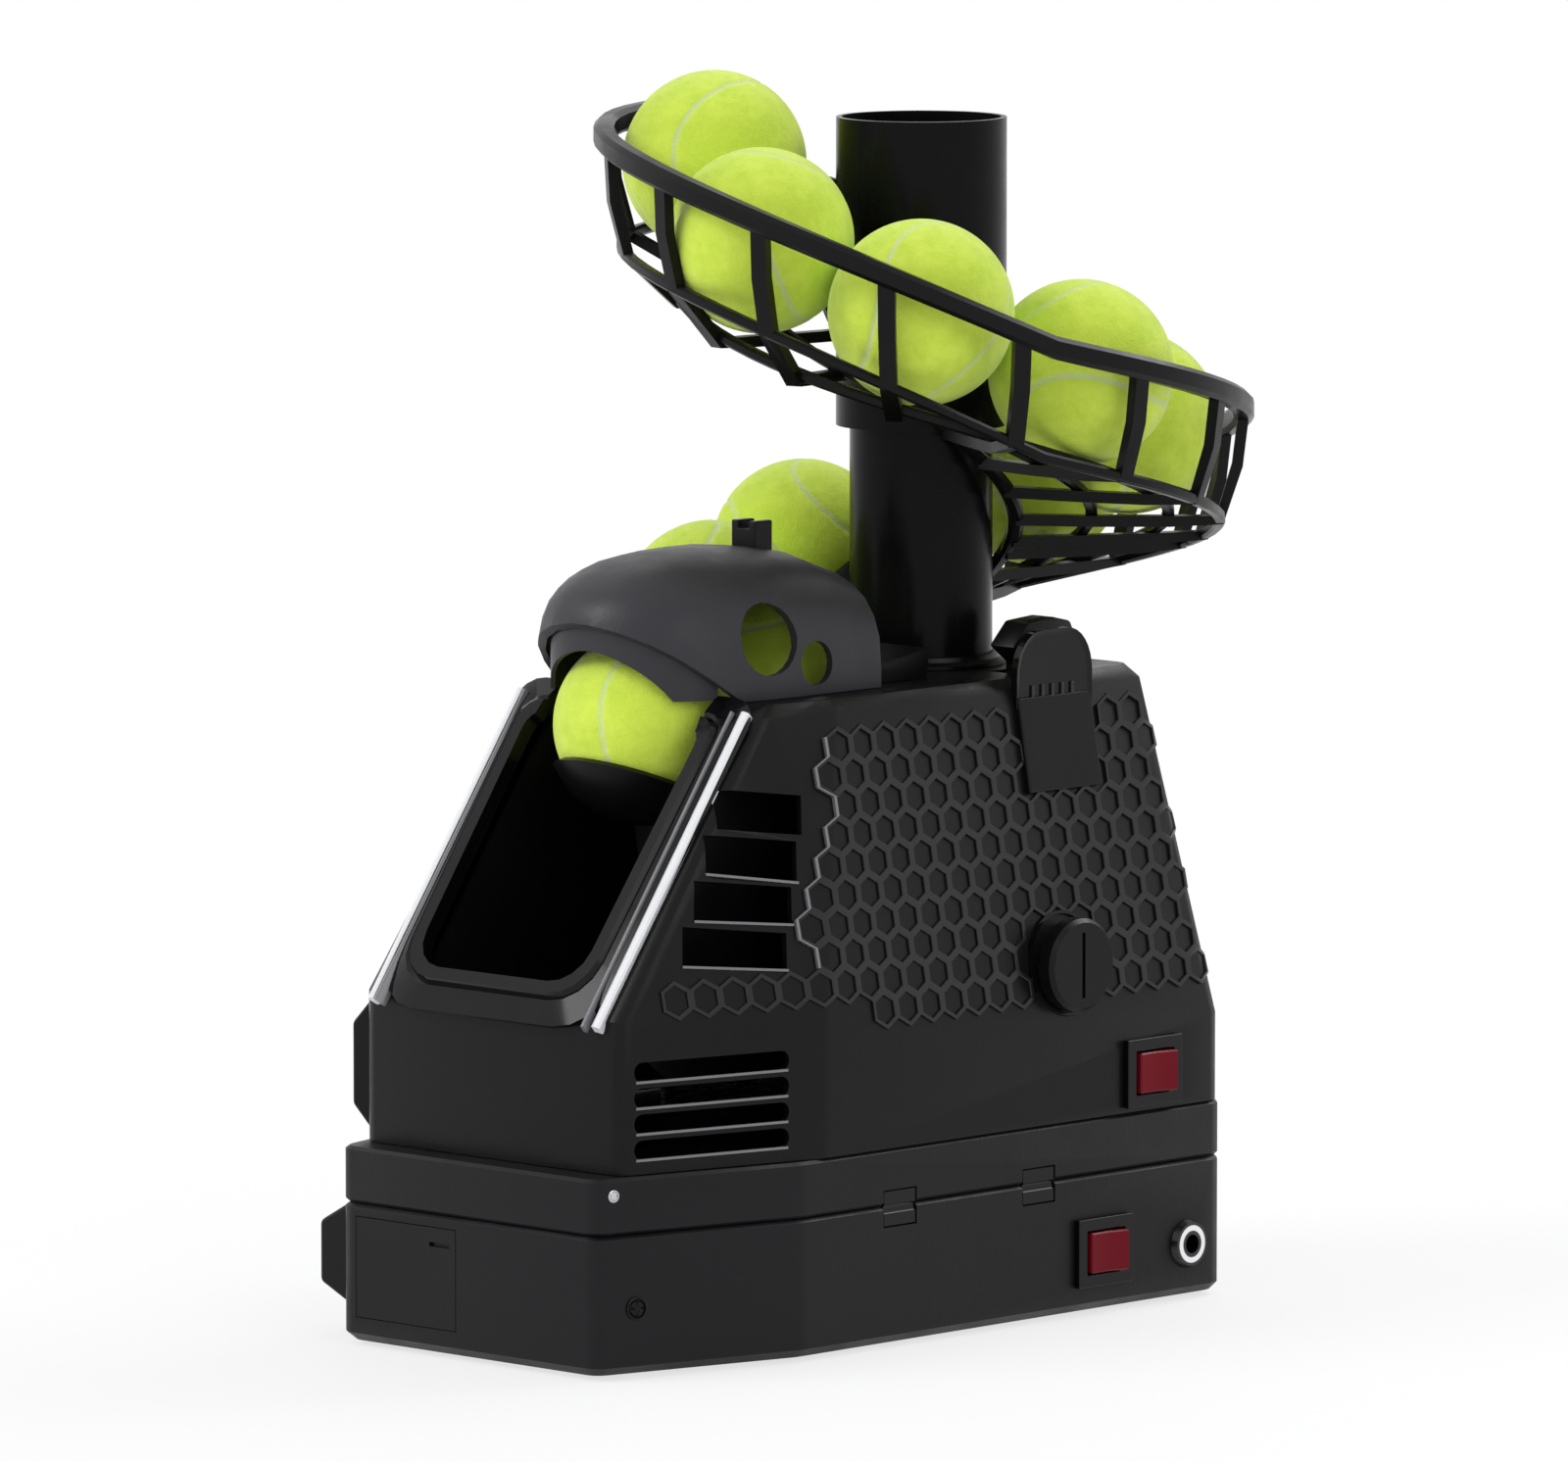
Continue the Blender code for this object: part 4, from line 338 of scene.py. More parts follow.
def metal(name, dark, light, low, high, brushed=0.0):
    made, nodes, links, shader = new_material(name)
    place = place_coordinates(nodes)
    shader.inputs["Metallic"].default_value = 1.0
    stretch = add_node(nodes, "ShaderNodeMapping")
    stretch.inputs["Scale"].default_value = (1.0, 1.0, 1.0 + brushed)
    links.new(place, stretch.inputs["Vector"])
    streak = add_noise(nodes, links, stretch.outputs["Vector"], STREAK_SCALE, 5.0, 0.6)
    links.new(add_mix(nodes, links, streak, dark, light), shader.inputs["Base Color"])
    links.new(add_range(nodes, links, streak, low, high), shader.inputs["Roughness"])
    return made


def jack_finish():
    """Socket: a chrome ring on black, told apart by the distance from the socket's middle."""
    made, nodes, links, shader = new_material("socket_chrome")
    low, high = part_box("power_jack")
    shift = add_node(nodes, "ShaderNodeVectorMath", operation="SUBTRACT")
    shift.inputs[1].default_value = [(a + b) / 2 for a, b in zip(low, high)]
    links.new(place_coordinates(nodes), shift.inputs[0])
    flat = add_node(nodes, "ShaderNodeVectorMath", operation="MULTIPLY")
    flat.inputs[1].default_value = (0.0, 1.0, 1.0)
    links.new(shift.outputs["Vector"], flat.inputs[0])
    away = add_node(nodes, "ShaderNodeVectorMath", operation="LENGTH")
    links.new(flat.outputs["Vector"], away.inputs[0])
    rings = add_node(nodes, "ShaderNodeValToRGB")
    rings.color_ramp.interpolation = "CONSTANT"
    scaled = add_range(nodes, links, away.outputs["Value"], 0.0, 1.0, 0.0, high[2] / 2 - low[2] / 2)
    stops = rings.color_ramp.elements
    stops[0].position, stops[0].color = 0.0, SOCKET_BLACK
    stops[1].position, stops[1].color = SOCKET_RING[0], SOCKET_CHROME
    stops.new(SOCKET_RING[1]).color = SOCKET_BLACK
    links.new(scaled, rings.inputs["Fac"])
    links.new(rings.outputs["Color"], shader.inputs["Base Color"])
    bright = add_range(nodes, links, rings.outputs["Color"], 0.0, 1.0, 0.1, 0.4)
    links.new(bright, shader.inputs["Metallic"])
    smear = add_noise(nodes, links, place_coordinates(nodes), 160.0)
    links.new(add_range(nodes, links, smear, 0.16, 0.26), shader.inputs["Roughness"])
    return made


def felt():
    """Ball felt: bright yellow-green nap with clumps and fuzz, and a pale rubber seam."""
    made, nodes, links, shader = new_material("felt_nap")
    place = place_coordinates(nodes)
    clump = add_noise(nodes, links, place, FELT_CLUMPS, 5.0, 0.7)
    fibre = add_noise(nodes, links, place, FELT_FIBRES, 3.0, 0.7)
    patch = add_noise(nodes, links, place, FELT_PATCHES, 3.0, 0.5)
    spread = add_range(nodes, links, clump, 0.0, 1.0, 0.3, 0.7)
    base = add_mix(nodes, links, spread, FELT_DEEP, FELT_BRIGHT)
    drift = add_range(nodes, links, patch, 0.0, 0.5, 0.35, 0.7)
    tone = add_mix(nodes, links, drift, base, FELT_WORN)
    seam = add_node(nodes, "ShaderNodeAttribute", attribute_name="seam").outputs["Fac"]
    links.new(add_mix(nodes, links, seam, tone, SEAM_RUBBER), shader.inputs["Base Color"])
    links.new(add_range(nodes, links, fibre, 0.86, 1.0), shader.inputs["Roughness"])
    shader.inputs["Sheen Weight"].default_value = 0.35
    shader.inputs["Sheen Roughness"].default_value = 0.4
    shader.inputs["IOR"].default_value = 1.35
    tufts = add_bump(nodes, links, clump, 0.0012, 0.7)
    links.new(add_bump(nodes, links, fibre, 0.0005, 0.8, tufts), shader.inputs["Normal"])
    return made


BODY = plastic(
    "satin_black_plastic", (0.0036, 0.0035, 0.0042), (0.0064, 0.0063, 0.0072),
    0.26, 0.38, 0.00004, shine=0.16)
TRAY = plastic(
    "tray_black_plastic", (0.0058, 0.0056, 0.0068), (0.0092, 0.0090, 0.0106),
    0.32, 0.46, 0.00007, shine=0.19)
GLOSS = plastic(
    "gloss_black_plastic", (0.0024, 0.0024, 0.0029), (0.0040, 0.0040, 0.0046),
    0.10, 0.18, coat=0.08, shine=0.18)
HOOD = plastic(
    "hood_grey_plastic", (0.0235, 0.0225, 0.0275), (0.0340, 0.0325, 0.0385),
    0.40, 0.52, 0.00008, shine=0.30)
TUBE = plastic(
    "tube_black_plastic", (0.0026, 0.0026, 0.0034), (0.0046, 0.0046, 0.0056),
    0.20, 0.30, 0.00003, shine=0.09)
BASKET = plastic(
    "basket_black_plastic", (0.0030, 0.0030, 0.0033), (0.0052, 0.0052, 0.0056),
    0.26, 0.38, 0.00004, shine=0.15)
RED = plastic(
    "switch_red_plastic", (0.140, 0.0018, 0.008), (0.190, 0.003, 0.012),
    0.20, 0.30, shine=0.12)
RUBBER = plastic("foot_rubber", (0.010, 0.010, 0.010), (0.016, 0.016, 0.016), 0.75, 0.90, 0.0002, 500.0)
NYLON = plastic("white_nylon", (0.60, 0.59, 0.55), (0.70, 0.69, 0.65), 0.40, 0.52, 0.00003)
BOARD = plastic("board_lacquer", (0.010, 0.11, 0.035), (0.016, 0.16, 0.050), 0.30, 0.42)
CELL = plastic("cell_wrap", (0.015, 0.06, 0.24), (0.025, 0.09, 0.32), 0.22, 0.34)
STEEL = metal("bright_steel", (0.50, 0.50, 0.51), (0.64, 0.64, 0.65), 0.20, 0.34, 12.0)
BRASS = metal("turned_brass", (0.58, 0.42, 0.17), (0.68, 0.51, 0.23), 0.24, 0.38, 8.0)
FELT = felt()
# Lighter, shinier copy of the housing's black for the raised honeycomb ridges and the guard's ribs: painted
# light on the raised tops, so that the cells between them read darker
RELIEF_PAINTED_LIGHT = plastic(
    "relief_black_painted_light", (0.0080, 0.0080, 0.0088), (0.0130, 0.0130, 0.0140),
    0.18, 0.28, 0.00003, shine=0.34)
# Near-white finish of the strips on the mouth's frame: a painted highlight, not the colour of the frame's
# plastic
PAINTED_HIGHLIGHT = plastic("painted_highlight_bright", (0.78, 0.78, 0.80), (0.88, 0.88, 0.90), 0.20, 0.30, 0.0, coat=0.5)
# Grey finish of the bead on the frame, the louvre lips and the honeycomb's edge line: a painted highlight on
# those edges
PAINTED_DIM_HIGHLIGHT = plastic("painted_highlight_dim", (0.14, 0.14, 0.15), (0.20, 0.20, 0.21), 0.18, 0.28, 0.0, coat=0.5)

LOOKS = {
    "body_black": BODY,
    "gloss_black": GLOSS,
    "hood_grey": HOOD,
    "tube_black": TUBE,
    "basket_black": BASKET,
    "ball_felt": FELT,
    "switch_red": RED,
    "steel": STEEL,
    "brass": BRASS,
    "nylon": NYLON,
    "rubber": RUBBER,
    "board_green": BOARD,
    "cell_blue": CELL,
}
OWN_LOOKS = {
    "battery_tray": TRAY,
    "chassis_deck": TRAY,
    "battery_door": TRAY,
    "front_latch": GLOSS,
    "rear_latch": GLOSS,
    "power_jack": jack_finish(),
    "power_switch_frame": GLOSS,
    "pack_switch_frame": GLOSS,
}
SLOTS = {entry["node"]: entry["material_slot"] for entry in frame["record"]["subparts"]}


def dress_nodes():
    """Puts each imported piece's finish on it."""
    for name, node in NODES.items():
        look = OWN_LOOKS.get(name, LOOKS[SLOTS[name]])
        if not node.material_slots:
            node.data.materials.append(look)
        for holder in node.material_slots:
            holder.material = look


# Balls

def seam_curve(turn):
    """Unit direction of the seam at one place along it."""
    swing = SEAM_SWING
    x = math.cos(turn) + swing * math.cos(3 * turn)
    y = math.sin(turn) - swing * math.sin(3 * turn)
    z = 2 * math.sqrt(swing) * math.sin(2 * turn)
    return Vector((x, y, z)).normalized()


def ball_mesh():
    """Round mesh with the seam pressed in, and the seam's share at each vertex."""
    shape = bmesh.new()
    bmesh.ops.create_icosphere(shape, subdivisions=BALL_LEVELS, radius=BALL_RADIUS)
    mesh = bpy.data.meshes.new("felt_ball")
    shape.to_mesh(mesh)
    shape.free()
    seam = mesh.attributes.new("seam", "FLOAT", "POINT")
    tree = KDTree(SEAM_POINTS)
    for index in range(SEAM_POINTS):
        tree.insert(seam_curve(math.tau * index / SEAM_POINTS) * BALL_RADIUS, index)
    tree.balance()
    for index, vertex in enumerate(mesh.vertices):
        _, _, away = tree.find(vertex.co)
        share = max(0.0, 1.0 - (away / SEAM_WIDTH) ** 4) if away < SEAM_WIDTH else 0.0
        seam.data[index].value = min(1.0, share)
        vertex.co *= 1.0 - SEAM_DEPTH / BALL_RADIUS * share
    mesh.shade_smooth()
    mesh.materials.append(FELT)
    return mesh


def make_balls():
    """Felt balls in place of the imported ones, each turned its own way."""
    mesh = ball_mesh()
    for number in range(1, BALL_COUNT + 1):
        name = f"tennis_ball_{number}"
        low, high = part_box(name)
        place = (Vector(low) + Vector(high)) / 2
        turned = mesh.copy()
        tilt = Matrix.Rotation(number * BALL_TILT, 4, "X")
        turned.transform(tilt @ Matrix.Rotation(number * BALL_SPIN, 4, "Z"))
        ball = bpy.data.objects.new(f"felt_ball_{number}", turned)
        bpy.context.scene.collection.objects.link(ball)
        ball.matrix_world = Matrix.Translation(place)
        bpy.context.view_layer.update()
        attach(ball, f"ball_{number}")
        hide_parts(name)


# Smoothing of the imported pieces

def smoothing_group():
    """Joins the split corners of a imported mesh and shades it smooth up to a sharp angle."""
    group = bpy.data.node_groups.new("smooth_by_angle", "GeometryNodeTree")
    group.interface.new_socket("Geometry", in_out="INPUT", socket_type="NodeSocketGeometry")
    group.interface.new_socket("Geometry", in_out="OUTPUT", socket_type="NodeSocketGeometry")
    nodes = group.nodes
    links = group.links
    start = nodes.new("NodeGroupInput")
    stop = nodes.new("NodeGroupOutput")
    last = start.outputs[0]
    for name in ("custom_normal", "sharp_edge", "sharp_face"):
        drop = nodes.new("GeometryNodeRemoveAttribute")
        drop.inputs["Name"].default_value = name
        links.new(last, drop.inputs["Geometry"])
        last = drop.outputs["Geometry"]
    weld = nodes.new("GeometryNodeMergeByDistance")
    weld.inputs["Distance"].default_value = WELD_REACH
    links.new(last, weld.inputs["Geometry"])
    edge = nodes.new("GeometryNodeInputMeshEdgeAngle")
    sharp = add_node(nodes, "FunctionNodeCompare", data_type="FLOAT", operation="GREATER_THAN")
    sharp.inputs["B"].default_value = SHARP_ANGLE
    links.new(edge.outputs["Unsigned Angle"], sharp.inputs["A"])
    smooth = add_node(nodes, "GeometryNodeSetShadeSmooth", domain="FACE")
    links.new(weld.outputs["Geometry"], smooth.inputs["Geometry"])
    crisp = add_node(nodes, "GeometryNodeSetShadeSmooth", domain="EDGE")
    crisp.inputs["Shade Smooth"].default_value = False
    links.new(smooth.outputs["Geometry"], crisp.inputs["Geometry"])
    links.new(sharp.outputs["Result"], crisp.inputs["Selection"])
    links.new(crisp.outputs["Geometry"], stop.inputs[0])
    return group


def soften_nodes():
    """Smooth round surfaces, and small rounded edges that catch the light on the moulded pieces."""
    group = smoothing_group()
    for node in NODES.values():
        node.modifiers.new("smooth_by_angle", "NODES").node_group = group
    for name, width in SOFT_EDGES:
        node = NODES[name]
        soften = node.modifiers.new("soft_edges", "BEVEL")
        soften.width = width
        soften.segments = 2
        soften.limit_method = "ANGLE"
        soften.angle_limit = SHARP_ANGLE
        soften.harden_normals = True


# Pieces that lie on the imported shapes

def join_rings(shape, first, second):
    """Faces between two rings of as many points."""
    count = len(first)
    for k in range(count):
        after = (k + 1) % count
        shape.faces.new((first[k], first[after], second[after], second[k]))


def loft(shape, rings):
    """Closed solid through a row of rings."""
    for first, second in zip(rings, rings[1:]):
        join_rings(shape, first, second)
    shape.faces.new(rings[0])
    shape.faces.new(rings[-1][::-1])


def first_hit(tree, start, way):
    """Place and normal of the first surface along a ray, or two times nothing."""
    place, normal, _, _ = tree.ray_cast(Vector(start), Vector(way))
    return place, normal


def back(setback):
    """World Y at a setback."""
    return FRONT_Y + setback


def surface_of(name):
    """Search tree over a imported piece's faces."""
    mesh = NODES[name].data
    return BVHTree.FromPolygons([v.co[:] for v in mesh.vertices], [p.vertices[:] for p in mesh.polygons])


def new_piece(name, shape, look, body="base", bevel=0.0):
    """Object from a built shape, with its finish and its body."""
    bmesh.ops.recalc_face_normals(shape, faces=shape.faces)
    mesh = bpy.data.meshes.new(name)
    shape.to_mesh(mesh)
    shape.free()
    mesh.shade_smooth()
    mesh.set_sharp_from_angle(angle=PIECE_SHARP)
    mesh.materials.append(look)
    piece = bpy.data.objects.new(name, mesh)
    bpy.context.scene.collection.objects.link(piece)
    if bevel:
        soften = piece.modifiers.new("soft_edges", "BEVEL")
        soften.width = bevel
        soften.segments = 3
        soften.limit_method = "ANGLE"
        soften.angle_limit = PIECE_BEVEL_ANGLE
        piece.modifiers.new("flat_faces", "WEIGHTED_NORMAL")
    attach(piece, body)


def side_point(tree, side, y, z):
    """Place and outward normal on the housing's side wall, or nothing where the wall turns away."""
    place, normal = first_hit(tree, (side * RAY_START, y, z), (-side, 0.0, 0.0))
    if place is None or normal.x * side < WALL_FACING or place.x * side < WALL_LEAST:
        return None
    return place, normal


def between(value, first, second):
    """Straight line through two (setback, height) points, as a setback at one height or the reverse."""
    share = (value - first[0]) / (second[0] - first[0])
    return first[1] + (second[1] - first[1]) * share


def cell_kept(setback, z, side):
    """Whether a cell belongs to the field, which leaves the louvres, dial, switch and lever's plate free."""
    if z > CELL_TOP or z < between(setback, KNEE_FRONT, KNEE_REAR) + CELL_PITCH * CELL_MARGIN:
        return False
    low, high = SCALLOP_LOW[::-1], SCALLOP_HIGH[::-1]
    if setback < (between(z, low, high) if z > SCALLOP_LOW[1] else FACET_ROW_FRONT):
        return False
    if side < 0:
        return True
    y = back(setback)
    dial_low, dial_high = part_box("speed_dial")
    dial_y = (dial_low[1] + dial_high[1]) / 2
    dial_z = (dial_low[2] + dial_high[2]) / 2
    on_dial = math.hypot(y - dial_y, z - dial_z) < DIAL_ROOM
    low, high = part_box("power_switch_frame")
    beside = low[1] - SWITCH_ROOM < y < high[1] + SWITCH_ROOM
    on_switch = beside and low[2] - SWITCH_ROOM < z < high[2] + SWITCH_ROOM
    beside = GUIDE[0] - GUIDE_ROOM < setback < GUIDE[1] + GUIDE_ROOM
    on_guide = beside and z > GUIDE[2] - GUIDE_ROOM
    return not (on_dial or on_switch or on_guide)


def hexagon(y, z, radius):
    turns = [math.pi * k / 3 for k in range(6)]
    return [(y + radius * math.sin(turn), z + radius * math.cos(turn)) for turn in turns]


def cell_rows():
    """Number and height of each row of cells."""
    rows = int((CELL_TOP - KNEE_REAR[1]) / CELL_ROW) + 1
    return [(row, KNEE_REAR[1] + CELL_PITCH * CELL_FIRST_ROW + row * CELL_ROW) for row in range(rows)]


def cell_setback(row, column):
    """Setback of a cell, with every other row half a cell further back."""
    return CELL_PITCH * (column + 0.5 * (row % 2))


def make_honeycomb(name, side):
    """One sheet of joined hexagonal ridges over the side wall."""
    tree = surface_of("housing")
    shape = bmesh.new()
    made = {}
    edges = {}
    hole = CELL_RADIUS - CELL_RIDGE / math.sqrt(3)

    def vertex(point, rise):
        key = (round(point[0], 5), round(point[1], 5), rise)
        if key not in made:
            place, normal = side_point(tree, side, *point)
            made[key] = shape.verts.new(place + normal * rise)
        return made[key]

    for row, z in cell_rows():
        for column in range(CELL_COLUMNS):
            setback = cell_setback(row, column)
            y = back(setback)
            outer = hexagon(y, z, CELL_RADIUS)
            if not cell_kept(setback, z, side):
                continue
            if any(side_point(tree, side, *point) is None for point in outer):
                continue
            inner = hexagon(y, z, hole)
            low = hexagon(y, z, hole - CELL_CHAMFER)
            for k in range(6):
                after = (k + 1) % 6
                a, b = vertex(outer[k], CELL_RISE), vertex(outer[after], CELL_RISE)
                c, d = vertex(inner[after], CELL_RISE), vertex(inner[k], CELL_RISE)
                e, f = vertex(low[after], CELL_RISE - CELL_CHAMFER), vertex(low[k], CELL_RISE - CELL_CHAMFER)
                g, h = vertex(low[after], -SINK), vertex(low[k], -SINK)
                i, j = vertex(outer[after], -SINK), vertex(outer[k], -SINK)
                for face in ((a, b, c, d), (d, c, e, f), (f, e, g, h), (h, g, i, j)):
                    shape.faces.new(face)
                pair = frozenset((a, b))
                edges.setdefault(pair, []).append((a, b, i, j))
    for uses in edges.values():
        if len(uses) == 1:
            shape.faces.new(uses[0])
    # The ridges' lighter finish is painted light
    new_piece(name, shape, RELIEF_PAINTED_LIGHT)


def make_guide():
    """Raised plate under the lever, which follows the right side wall."""
    tree = surface_of("housing")
    steps = GUIDE_STEPS
    first, last, low, high = GUIDE
    shape = bmesh.new()
    layers = []
    for height in (GUIDE_RISE, -SINK):
        grid = []
        for i in range(steps + 1):
            line = []
            for j in range(steps + 1):
                point = (back(first + (last - first) * i / steps), low + (high - low) * j / steps)
                place, normal = side_point(tree, 1, *point)
                line.append(shape.verts.new(place + normal * height))
            grid.append(line)
        layers.append(grid)
    top, foot = layers
    for grid in layers:
        for i in range(steps):
            for j in range(steps):
                shape.faces.new((grid[i][j], grid[i + 1][j], grid[i + 1][j + 1], grid[i][j + 1]))
    for k in range(steps):
        borders = ((k, 0, k + 1, 0), (k, steps, k + 1, steps), (0, k, 0, k + 1), (steps, k, steps, k + 1))
        for i, j, p, q in borders:
            shape.faces.new((top[i][j], top[p][q], foot[p][q], foot[i][j]))
    new_piece("lever_guide", shape, BODY, bevel=GUIDE_BEVEL)


def make_frame_line(name, x, width, look):
    """Straight raised line down the side of the mouth's frame at one distance from the middle, in a pale look
    that paints a highlight on it.
    """
    tree = surface_of("mouth_frame")
    low, high = [first_hit(tree, (x, back(-RAY_START), z), (0.0, 1.0, 0.0))[0] for z in TRIM_FOUND]
    line = (high - low) / (high.z - low.z)
    slope = Vector((math.copysign(TRIM_LEAN, x), *TRIM_FACING)).normalized()
    across = line.cross(slope).normalized()
    shape = bmesh.new()
    rings = []
    for z in TRIM_ENDS:
        place = low + line * (z - low.z)
        ring = []
        for share, rise in TRIM_SECTION:
            ring.append(shape.verts.new(place + across * width * share + slope * rise))
        rings.append(ring)
    loft(shape, rings)
    new_piece(name, shape, look)


def make_edge_line(name, side, look):
    """Thin raised zigzag along the honeycomb's front edge, beside the louvres, which carries a painted
    highlight on that edge.
    """
    tree = surface_of("housing")
    line = []
    for row, z in cell_rows():
        if z < SCALLOP_LOW[1] or z > SCALLOP_HIGH[1] + CELL_PITCH:
            continue
        setbacks = [cell_setback(row, column) for column in range(CELL_COLUMNS)]
        front = back([setback for setback in setbacks if cell_kept(setback, z, side)][0]) - CELL_PITCH / 2
        line += [(front, z - CELL_RADIUS / 2), (front, z + CELL_RADIUS / 2)]
    shape = bmesh.new()
    rings = []
    for y, z in line:
        place, normal = side_point(tree, side, y, z)
        ring = []
        for share, rise in ((-0.5, -SINK), (-0.5, EDGE_LINE_RISE), (0.5, EDGE_LINE_RISE), (0.5, -SINK)):
            aside = Vector((0.0, EDGE_LINE_WIDTH * share, 0.0))
            ring.append(shape.verts.new(place + aside + normal * rise))
        rings.append(ring)
    loft(shape, rings)
    new_piece(name, shape, look)


def make_cover(name, zone, look):
    """Cover on the left side, with slanted ends, that follows the wall behind the front corner."""
    carrier, first, last, low, high, proud, slant = zone
    tree = surface_of(carrier)
    shape = bmesh.new()
    middle = (low + high) / 2
    edge = proud * COVER_EDGE
    profile = [
        (low, -SINK), (low, edge), (low + slant, proud),
        (high - slant, proud), (high, edge), (high, -SINK),
    ]
    loops = []
    for ring in range(COVER_RINGS + 1):
        y = back(first + (last - first) * ring / COVER_RINGS)
        place, normal = first_hit(tree, (-RAY_START, y, middle), (1.0, 0.0, 0.0))
        out = Vector((normal.x, normal.y, 0.0)).normalized()
        loops.append([shape.verts.new(Vector((place.x, place.y, z)) + out * rise) for z, rise in profile])
    loft(shape, loops)
    new_piece(name, shape, look, bevel=COVER_BEVEL)


def make_clip():
    """Small catch that stands up from the top of the hood."""
    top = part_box("hood")[1][2]
    notch = CLIP_HALF * CLIP_NOTCH
    floor = CLIP_HEIGHT * CLIP_NOTCH_FLOOR
    profile = [
        (-CLIP_HALF, CLIP_FOOT), (-CLIP_HALF, CLIP_HEIGHT), (-notch, CLIP_HEIGHT), (-notch, floor),
        (notch, floor), (notch, CLIP_HEIGHT), (CLIP_HALF, CLIP_HEIGHT), (CLIP_HALF, CLIP_FOOT),
    ]
    shape = bmesh.new()
    ends = []
    for setback in (CLIP_SETBACK - CLIP_LENGTH / 2, CLIP_SETBACK + CLIP_LENGTH / 2):
        ends.append([shape.verts.new((x, back(setback), top - CLIP_SINK + z)) for x, z in profile])
    loft(shape, ends)
    new_piece("hood_clip", shape, BODY, bevel=CLIP_BEVEL)


def make_guard():
    """Upright guard with round top corners beside the lever, at the top edge of the right side."""
    wall, _ = side_point(surface_of("housing"), 1, back(GUARD_MIDDLE), GUARD_FOOT)
    shoulder = GUARD_TOP - GUARD_CORNER * GUARD_TALL
    turns = [math.pi / 2 * step / GUARD_STEPS for step in range(GUARD_STEPS + 1)]
    left = [(-GUARD_HALF, GUARD_FOOT)]
    for turn in turns:
        inward = GUARD_CORNER * (1 - math.cos(turn))
        left.append((-GUARD_HALF + inward, shoulder + GUARD_CORNER * GUARD_TALL * math.sin(turn)))
    outline = left + [(-y, z) for y, z in left[::-1]]
    middle = back(GUARD_MIDDLE)
    face = wall.x + GUARD_THICK / 2
    shape = bmesh.new()
    sides = [[shape.verts.new((x, middle + y, z)) for y, z in outline] for x in (face - GUARD_THICK, face)]
    join_rings(shape, sides[0], sides[1])
    shape.faces.new(sides[0])
    outer = shape.faces.new(sides[1][::-1])
    shape.normal_update()
    bmesh.ops.inset_individual(shape, faces=[outer], thickness=GUARD_BORDER, depth=-GUARD_RECESS)
    new_piece("lever_guard", shape, GLOSS, bevel=GUARD_BEVEL)
    ribs = bmesh.new()
    for rib in range(GUARD_RIBS):
        y = middle + GUARD_HALF * (GUARD_FIRST_RIB + GUARD_RIB_STEP * rib)
        place = Matrix.Translation((face - GUARD_RECESS, y, GUARD_FOOT + GUARD_RIB_LIFT))
        bmesh.ops.create_cube(ribs, size=1.0, matrix=place @ Matrix.Diagonal((*GUARD_RIB_SIZE, 1.0)))
    # The ribs' lighter finish is painted light
    new_piece("lever_guard_ribs", ribs, RELIEF_PAINTED_LIGHT, bevel=GUARD_RIB_BEVEL)


def apron_low(x, y):
    """Lowest height that stays clear of the ball on the arm as it swings forward."""
    joints = frame["record"]["behaviour"]["joints"]
    pivot = [Vector(joint["pos_m"]) for joint in joints if joint["name"] == "arm_swing"][0]
    low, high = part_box("tennis_ball_10")
    centre = (Vector(low) + Vector(high)) / 2
    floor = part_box("housing")[1][2] + 2 * SINK
    if abs(x) >= BALL_RADIUS:
        return floor
    reach = math.hypot(centre.y - pivot.y, centre.z - pivot.z) + math.sqrt(BALL_RADIUS**2 - x**2)
    ahead = pivot.y - y
    if ahead > reach:
        return floor
    return max(floor, pivot.z + math.sqrt(reach**2 - ahead**2) + APRON_ROOM)


def make_apron():
    """Curved wall under the hood's front edge, as far down as the ball's path allows."""
    shape = bmesh.new()
    half = HOOD_HALF - APRON_INSET
    loops = []
    for step in range(APRON_STEPS + 1):
        turn = math.pi * (APRON_START + (1 - 2 * APRON_START) * step / APRON_STEPS)
        x = half * math.cos(turn)
        share = 1.0 - (1.0 - abs(x / half) ** HOOD_ROUND) ** (1.0 / HOOD_ROUND)
        setback = HOOD_NOSE + APRON_INSET + share * (HOOD_FULL - HOOD_NOSE - APRON_INSET)
        if setback > BROW_SETBACK - APRON_END:
            continue
        y = back(setback)
        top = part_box("housing")[1][2] + APRON_LAP + (BROW_SETBACK - setback) * BROW_SLOPE
        low = min(apron_low(x, y), top - APRON_LEAST)
        inner = Vector((x, y)) + Vector((-x, APRON_AIM)).normalized() * APRON_WALL
        corners = ((x, y, top), (x, y, low), (*inner, low), (*inner, top))
        loops.append([shape.verts.new(corner) for corner in corners])
    loft(shape, loops)
    new_piece("hood_apron", shape, HOOD)


